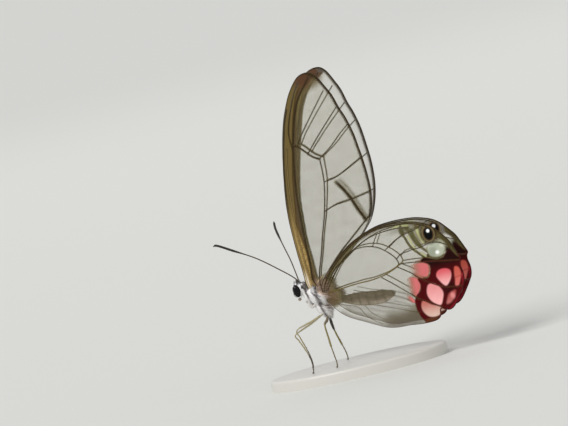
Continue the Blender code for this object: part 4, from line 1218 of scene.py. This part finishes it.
def shoulder_keep(centres):
    """The top of the thorax round the forewings' roots."""
    x, side, z = centres[:, 0], np.abs(centres[:, 1]), centres[:, 2]
    return (falling(np.abs(x - 0.2), 0.7, 0.6) * rising(z, -1.1, 0.4)
            * rising(side, 0.35, 0.2) * falling(side, 1.4, 0.2))


class BUTTERFLY_OT_body(bpy.types.Operator):
    """Make the skin of head, thorax and abdomen and the hair that covers it"""

    bl_idname = "butterfly.body"
    bl_label = "Body and hair"

    def execute(self, context):
        body = settings("body")
        skin = make_skin()
        make_hair("thorax_hair", face_samples(skin, body.hair_count, 21, thorax_keep),
                  thorax_lie, thorax_sizes)
        make_hair("abdomen_hair", face_samples(skin, body.abdomen_hair_count, 22, rear_keep),
                  lambda roots: (1.0, 0.0, -0.05), rear_sizes)
        make_hair("wing_root_hair", face_samples(skin, WING_ROOT_HAIRS, 23, root_fuzz_keep),
                  root_fuzz_lie, lambda roots: (0.32, 0.95))
        make_hair("wing_base_hair", wing_base_samples(WING_BASE_HAIRS, 25),
                  root_fuzz_lie, lambda roots: (0.12, 0.62))
        make_hair("shoulder_hair", face_samples(skin, SHOULDER_HAIRS, 24, shoulder_keep),
                  lambda roots: (0.25, 0.0, 0.9), lambda roots: (0.5, 0.6))
        settle(skin, material("body scales", roughness=0.75, bump=SCALE_GRAIN),
               ["head", "thorax", "abdomen"])
        return {"FINISHED"}


def make_eye(side, sign):
    bm = bmesh.new()
    centre = Vector((EYE_CENTRE.x + 0.03, (EYE_CENTRE.y - 0.02) * sign, EYE_CENTRE.z))
    add_egg(bm, centre, EYE_RADII, EYE_TILT, 64, 48)
    fix_face_order(bm)
    item = link_shape("eye_gloss_" + side, bm)
    finish = material("eye facets " + side, settings("limb").eye, 0.22,
                      Specular_IOR_Level=0.18, Coat_Weight=0.12, Coat_Roughness=0.06)
    raise_by(finish, "ShaderNodeTexVoronoi", "Distance", *EYE_FACETS)
    settle(item, finish, ["eye_" + side])


class BUTTERFLY_OT_eyes(bpy.types.Operator):
    """Make the two glossy compound eyes"""

    bl_idname = "butterfly.eyes"
    bl_label = "Eyes"

    def execute(self, context):
        for side, sign in SIDES:
            make_eye(side, sign)
        return {"FINISHED"}


def mirrored(points, sign):
    return [(x, y * sign, z) for x, y, z in points]


def joint_nearness(share, joints):
    """1 at each of a limb's even joints and 0 halfway between two."""
    return np.abs((share * joints) % 1.0 - 0.5) * 2.0


def make_antenna(side, points):
    """A thin jointed shaft that thickens into a slim dark club."""
    limb = settings("limb")
    line = smooth_line(points, 0.06)
    along = np.linspace(0.0, 1.0, len(line))
    shaft, club = limb.shaft_radius / MM, limb.club_radius / MM
    radii = shaft + (club - shaft) * rising(along, 0.64, 0.16)
    radii *= 1.0 + 0.5 * falling(along, 0.0, 0.02) - 0.7 * rising(along, 0.965, 0.035)
    radii *= 1.0 - 0.14 * joint_nearness(along, ANTENNA_JOINTS) ** 5
    item, _ = strands("feeler_" + side, [line], [radii], 3)
    share = line_distance(vertex_places(item), line)[2]
    shaft_share = falling(share, 0.6, 0.15)
    tone = mixed(linear(limb.club), linear(limb.antenna), shaft_share)
    rings = rising(joint_nearness(share, ANTENNA_JOINTS), 0.75, 0.2) * 0.5 * shaft_share
    store_tone(item, mixed(tone, linear((0.52, 0.45, 0.30)), rings))
    settle(item, material("feeler " + side, roughness=0.45), ["antenna_" + side])


class BUTTERFLY_OT_feelers(bpy.types.Operator):
    """Make the two feelers"""

    bl_idname = "butterfly.feelers"
    bl_label = "Feelers"

    def execute(self, context):
        make_antenna("left", ANTENNA_LEFT)
        make_antenna("right", ANTENNA_RIGHT)
        return {"FINISHED"}


def sideways(ahead, rng):
    """A random direction square to the one ahead."""
    out = rng.normal(size=3)
    out -= ahead * (out @ ahead)
    return out / np.linalg.norm(out)


def make_palp(side, sign):
    """An upturned palp: a slim stalk under a brush of white and dark hair."""
    body = settings("body")
    line = smooth_line(mirrored(PALP_LINE, sign), 0.12)
    stalk = np.interp(np.linspace(0, 1, len(line)), [0, 0.3, 0.75, 1], [0.1, 0.13, 0.1, 0.05])
    lines, radii = [line], [stalk]
    rng = np.random.default_rng(PALP_SEEDS[side])
    tones = [np.array(body.white)]
    for index in range(3, len(line) - 2):
        ahead = line[index + 1] - line[index]
        ahead /= np.linalg.norm(ahead)
        for _ in range(PALP_HAIRS):
            out = sideways(ahead, rng)
            reach = PALP_HAIR_LENGTH * (1.0 - 0.15 * index / len(line)) * rng.uniform(0.7, 1.2)
            start = line[index] + out * stalk[index] * 0.7
            tip = start + (ahead * 0.85 + out * 0.4) * reach
            lines.append(np.array([start, (start + tip) / 2 + out * 0.02, tip]))
            radii.append(PALP_HAIR_TAPER)
            front = rising(-out[0], 0.15, 0.3) * falling(index / len(line), 0.5, 0.15)
            tones.append(np.array(body.white) + (np.array(body.black) - body.white) * front)
    item, owner = strands("palp_brush_" + side, lines, radii, 1)
    store_tone(item, linear(np.array(tones)[owner]))
    settle(item, material("palp " + side, roughness=0.6), ["palp_" + side])


def make_proboscis():
    """The tongue rolled up like a watch spring under the head."""
    turns = np.linspace(0.0, PROBOSCIS_TURNS * math.tau, 150)
    reach = 0.06 + 0.22 * turns / turns[-1]
    line = np.column_stack([PROBOSCIS_CENTRE.x + reach * np.cos(turns + 0.6),
                            0.02 * np.sin(turns * 0.5),
                            PROBOSCIS_CENTRE.z + reach * np.sin(turns + 0.6)])
    line = np.vstack([line, smooth_line([line[-1], *PROBOSCIS_ROOT], 0.1)[1:]])
    radii = np.interp(np.linspace(0, 1, len(line)), [0, 0.1, 1], [0.02, 0.028, 0.045])
    item, _ = strands("tongue", [line], [radii])
    store_tone(item, np.tile(linear((0.62, 0.56, 0.48)), (len(item.data.vertices), 1)))
    settle(item, material("tongue", roughness=0.4), ["proboscis"])


class BUTTERFLY_OT_mouthparts(bpy.types.Operator):
    """Make the two hairy palps and the rolled tongue"""

    bl_idname = "butterfly.mouthparts"
    bl_label = "Mouthparts"

    def execute(self, context):
        for side, sign in SIDES:
            make_palp(side, sign)
        make_proboscis()
        return {"FINISHED"}


def leg_radius(share, knee, ankle, thigh, shin, foot):
    """Half the leg's thickness along it: thigh, shin and five foot joints."""
    upper = thigh * (0.75 + 0.5 * np.sin(np.clip(share / knee, 0, 1) * math.pi) ** 0.8)
    middle = shin * (0.9 + 0.25 * ((share - knee) / (ankle - knee)))
    joints = joint_nearness((share - ankle) / (1.0 - ankle), FOOT_JOINTS)
    lower = foot * (1.0 - 0.25 * joints ** 4)
    return np.where(share < knee, upper, np.where(share < ankle, middle, lower))


def add_bristles(lines, radii, share, places, bristles, rng):
    """Fine bristles that lean along a limb, the first line, starting at given shares of it."""
    line, limb_radii = lines[0], radii[0]
    each, reach, thickness = bristles
    for place in places:
        index = min(max(1, int(np.searchsorted(share, place))), len(line) - 1)
        ahead = line[index] - line[index - 1]
        ahead /= np.linalg.norm(ahead)
        for _ in range(each):
            out = sideways(ahead, rng)
            start = line[index] + out * limb_radii[index] * 0.8
            size = reach * rng.uniform(0.7, 1.2)
            lines.append(np.array([start, start + (out * 0.36 + ahead * 0.54) * size,
                                   start + (out * 0.54 + ahead) * size]))
            radii.append(np.array([1.0, 0.7, 0.25]) * thickness)


def make_leg(name, node, points, sign, knee, ankle, sizes, tones, has_foot=True):
    """One leg with its bristles, and with two claws and a pad if it walks."""
    line = smooth_line(mirrored(points, sign), 0.07)
    steps = np.linalg.norm(np.diff(line, axis=0), axis=1)
    share = np.concatenate([[0.0], np.cumsum(steps)]) / steps.sum()
    lines, radii = [line], [leg_radius(share, knee, ankle, *sizes)]
    rng = np.random.default_rng(sum(ord(letter) for letter in name))
    if has_foot:
        for turn in (-CLAW_TURN, CLAW_TURN):
            turned = (math.cos(turn), math.sin(turn), 1.0)
            lines.append(line[-1] + np.array(CLAW[0]) * turned)
            radii.append(CLAW[1])
        lines.append(line[-1] + np.array(FOOT_PAD[0]))
        radii.append(FOOT_PAD[1])
    thigh_bristles = THIGH_BRISTLES if has_foot else FORELEG_BRISTLES
    add_bristles(lines, radii, share, np.arange(knee + 0.03, 0.97, 0.02), SHIN_BRISTLES, rng)
    add_bristles(lines, radii, share, np.arange(0.04, knee, 0.012), thigh_bristles, rng)
    item, owner = strands(name, lines, radii)
    where = line_distance(vertex_places(item), line)[2]
    where = np.interp(where, np.linspace(0, 1, len(share)), share)
    thigh, shin, foot = [linear(shown) for shown in tones]
    tone = mixed(thigh, shin, rising(where, knee - 0.02, 0.04))
    tone = mixed(tone, foot, rising(where, ankle, 0.08))
    tone[owner > 0] *= 0.6 if has_foot else 0.95
    store_tone(item, tone)
    settle(item, material(name + " cuticle", roughness=0.5), [node])


class BUTTERFLY_OT_legs(bpy.types.Operator):
    """Make the four walking legs and the two small folded forelegs"""

    bl_idname = "butterfly.legs"
    bl_label = "Legs"

    def execute(self, context):
        limb = settings("limb")
        fine = (0.13, 0.1, 0.09)
        stout = (0.2, 0.15, 0.1)
        pale = ((0.66, 0.62, 0.48), (0.60, 0.55, 0.36), (0.30, 0.25, 0.15))
        # The hind legs are one colour in life: the far one's thigh is painted dark as shade, the
        # near one's paler where lit
        dark = (tuple(limb.thigh), tuple(limb.leg), (0.42, 0.36, 0.20))
        dull = ((0.50, 0.45, 0.36), tuple(limb.leg), (0.42, 0.36, 0.20))
        white = ((0.92, 0.90, 0.88), (0.88, 0.86, 0.83), (0.75, 0.72, 0.68))
        make_leg("leg_middle_left", "midleg_left", MIDLEG_LEFT, -1.0, 0.45, 0.72, fine, pale)
        make_leg("leg_middle_right", "midleg_right", MIDLEG_RIGHT, 1.0, 0.47, 0.74, fine, pale)
        # Near hind leg with the paler, lit thigh; far hind leg with the painted shade
        make_leg("leg_hind_left", "hindleg_left", HINDLEG_LEFT, -1.0, 0.31, 0.68, stout, dull)
        make_leg("leg_hind_right", "hindleg_right", HINDLEG_RIGHT, 1.0, 0.4, 0.72, stout, dark)
        for side, sign in SIDES:
            make_leg("leg_front_" + side, "foreleg_" + side, FORELEG, sign, 0.4, 0.75,
                     (0.17, 0.14, 0.08), white, False)
        return {"FINISHED"}


class BUTTERFLY_OT_base(bpy.types.Operator):
    """Make the smooth oval display base"""

    bl_idname = "butterfly.base"
    bl_label = "Base"

    def execute(self, context):
        size = (base_high - base_low) / MM
        bm = bmesh.new()
        bmesh.ops.create_circle(bm, segments=192, radius=0.5, cap_ends=True)
        bmesh.ops.scale(bm, verts=bm.verts[:], vec=(size.x, size.y, 1.0))
        raised = bmesh.ops.extrude_face_region(bm, geom=bm.faces[:])["geom"]
        top = [part for part in raised if isinstance(part, bmesh.types.BMVert)]
        bmesh.ops.translate(bm, verts=top, vec=(0.0, 0.0, size.z))
        rim = [edge for edge in bm.edges if all(vert in top for vert in edge.verts)]
        bmesh.ops.bevel(bm, geom=rim, offset=BASE_ROUNDING, segments=6, profile=0.5, affect="EDGES",
                        offset_type="OFFSET", material=-1)
        bmesh.ops.recalc_face_normals(bm, faces=bm.faces[:])
        centre = (base_low + base_high) / 2.0
        shift = ((centre.x - ROOT.x) / MM, centre.y / MM, BASE_TOP - size.z)
        bmesh.ops.translate(bm, verts=bm.verts[:], vec=shift)
        finish = material("base coat", settings("stage").base, 0.38, bump=BASE_GRAIN)
        item = settle(link_shape("display_base", bm), finish, ["stand_base"])
        item.data.set_sharp_from_angle(angle=math.radians(40.0))
        return {"FINISHED"}


def soft_light(name, place, power):
    light = bpy.data.lights.new(name, "AREA")
    light.energy = power
    light.size = SOFT_LIGHT_SIZE
    item = link(name, light)
    item.location = place
    item.rotation_euler = (SOFT_LIGHT_AIM - Vector(place)).to_track_quat("-Z", "Y").to_euler()


def make_camera():
    turn, lift = math.radians(CAMERA_TURN), math.radians(CAMERA_RAISE)
    roll = math.radians(CAMERA_ROLL)
    right = Vector((math.cos(turn), math.sin(turn), 0.0))
    up = Vector((-math.sin(turn) * math.sin(lift), math.cos(turn) * math.sin(lift), math.cos(lift)))
    back = Vector((math.sin(turn) * math.cos(lift), -math.cos(turn) * math.cos(lift),
                   math.sin(lift)))
    across = right * math.cos(roll) - up * math.sin(roll)
    upright = right * math.sin(roll) + up * math.cos(roll)
    aim = ROOT + (across * AIM_ACROSS + upright * AIM_UP) * MM
    data = bpy.data.cameras.new("view")
    data.sensor_width = CAMERA_SENSOR
    data.sensor_fit = "HORIZONTAL"
    data.lens = CAMERA_SENSOR * CAMERA_DISTANCE / (PICTURE_WIDTH * MM_PER_PIXEL * MM)
    data.clip_start = 0.01
    data.clip_end = 10.0
    camera = link("view", data)
    turned = Matrix((across, upright, back)).transposed().to_4x4()
    camera.matrix_world = Matrix.Translation(aim + back * CAMERA_DISTANCE) @ turned
    bpy.context.scene.camera = camera


class BUTTERFLY_OT_stage(bpy.types.Operator):
    """Make the floor, the soft lights and the camera"""

    bl_idname = "butterfly.stage"
    bl_label = "Stage"

    def execute(self, context):
        stage = settings("stage")
        bm = bmesh.new()
        bmesh.ops.create_grid(bm, x_segments=8, y_segments=8, size=FLOOR_REACH)
        floor = link_shape("floor", bm)
        floor.data.materials.append(material("floor paint", stage.floor, 0.9))
        sun = bpy.data.lights.new("key", "SUN")
        sun.energy = stage.key_power
        sun.angle = math.radians(SUN_SOFTNESS)
        link("key", sun).rotation_euler = Vector(SUN_FROM).to_track_quat("Z", "Y").to_euler()
        for name, place in SOFT_LIGHTS.items():
            soft_light(name, place, stage.fill_power)
        world = bpy.data.worlds.new("pale room")
        world.use_nodes = True
        sky = world.node_tree.nodes["Background"]
        sky.inputs["Color"].default_value = ROOM_TINT
        sky.inputs["Strength"].default_value = ROOM_STRENGTH
        context.scene.world = world
        context.scene.view_settings.view_transform = "Standard"
        make_camera()
        return {"FINISHED"}


MAKERS = (BUTTERFLY_OT_stage, BUTTERFLY_OT_base, BUTTERFLY_OT_body, BUTTERFLY_OT_eyes,
          BUTTERFLY_OT_feelers, BUTTERFLY_OT_mouthparts, BUTTERFLY_OT_legs,
          BUTTERFLY_OT_forewings, BUTTERFLY_OT_hindwings)
GROUPS = {"wing": WingSettings, "mark": MarkSettings, "body": BodySettings,
          "limb": LimbSettings, "stage": StageSettings}


class BUTTERFLY_PT_panel(bpy.types.Panel):
    """Lists every piece that can be made and the settings it reads"""

    bl_idname = "BUTTERFLY_PT_panel"
    bl_label = "Butterfly"
    bl_space_type = "VIEW_3D"
    bl_region_type = "UI"
    bl_category = "Butterfly"

    def draw(self, context):
        for maker in MAKERS:
            self.layout.operator(maker.bl_idname)
        for name, group in GROUPS.items():
            box = self.layout.box()
            for field in group.__annotations__:
                box.prop(getattr(context.scene, "butterfly_" + name), field)


def register():
    for kind in (*GROUPS.values(), *MAKERS, BUTTERFLY_PT_panel):
        bpy.utils.register_class(kind)
    for name, group in GROUPS.items():
        setattr(bpy.types.Scene, "butterfly_" + name, PointerProperty(type=group))


def unregister():
    for name in GROUPS:
        delattr(bpy.types.Scene, "butterfly_" + name)
    for kind in reversed((*GROUPS.values(), *MAKERS, BUTTERFLY_PT_panel)):
        bpy.utils.unregister_class(kind)


def main():
    register()
    for maker in MAKERS:
        group, name = maker.bl_idname.split(".")
        getattr(getattr(bpy.ops, group), name)()


if __name__ == "__main__":
    main()
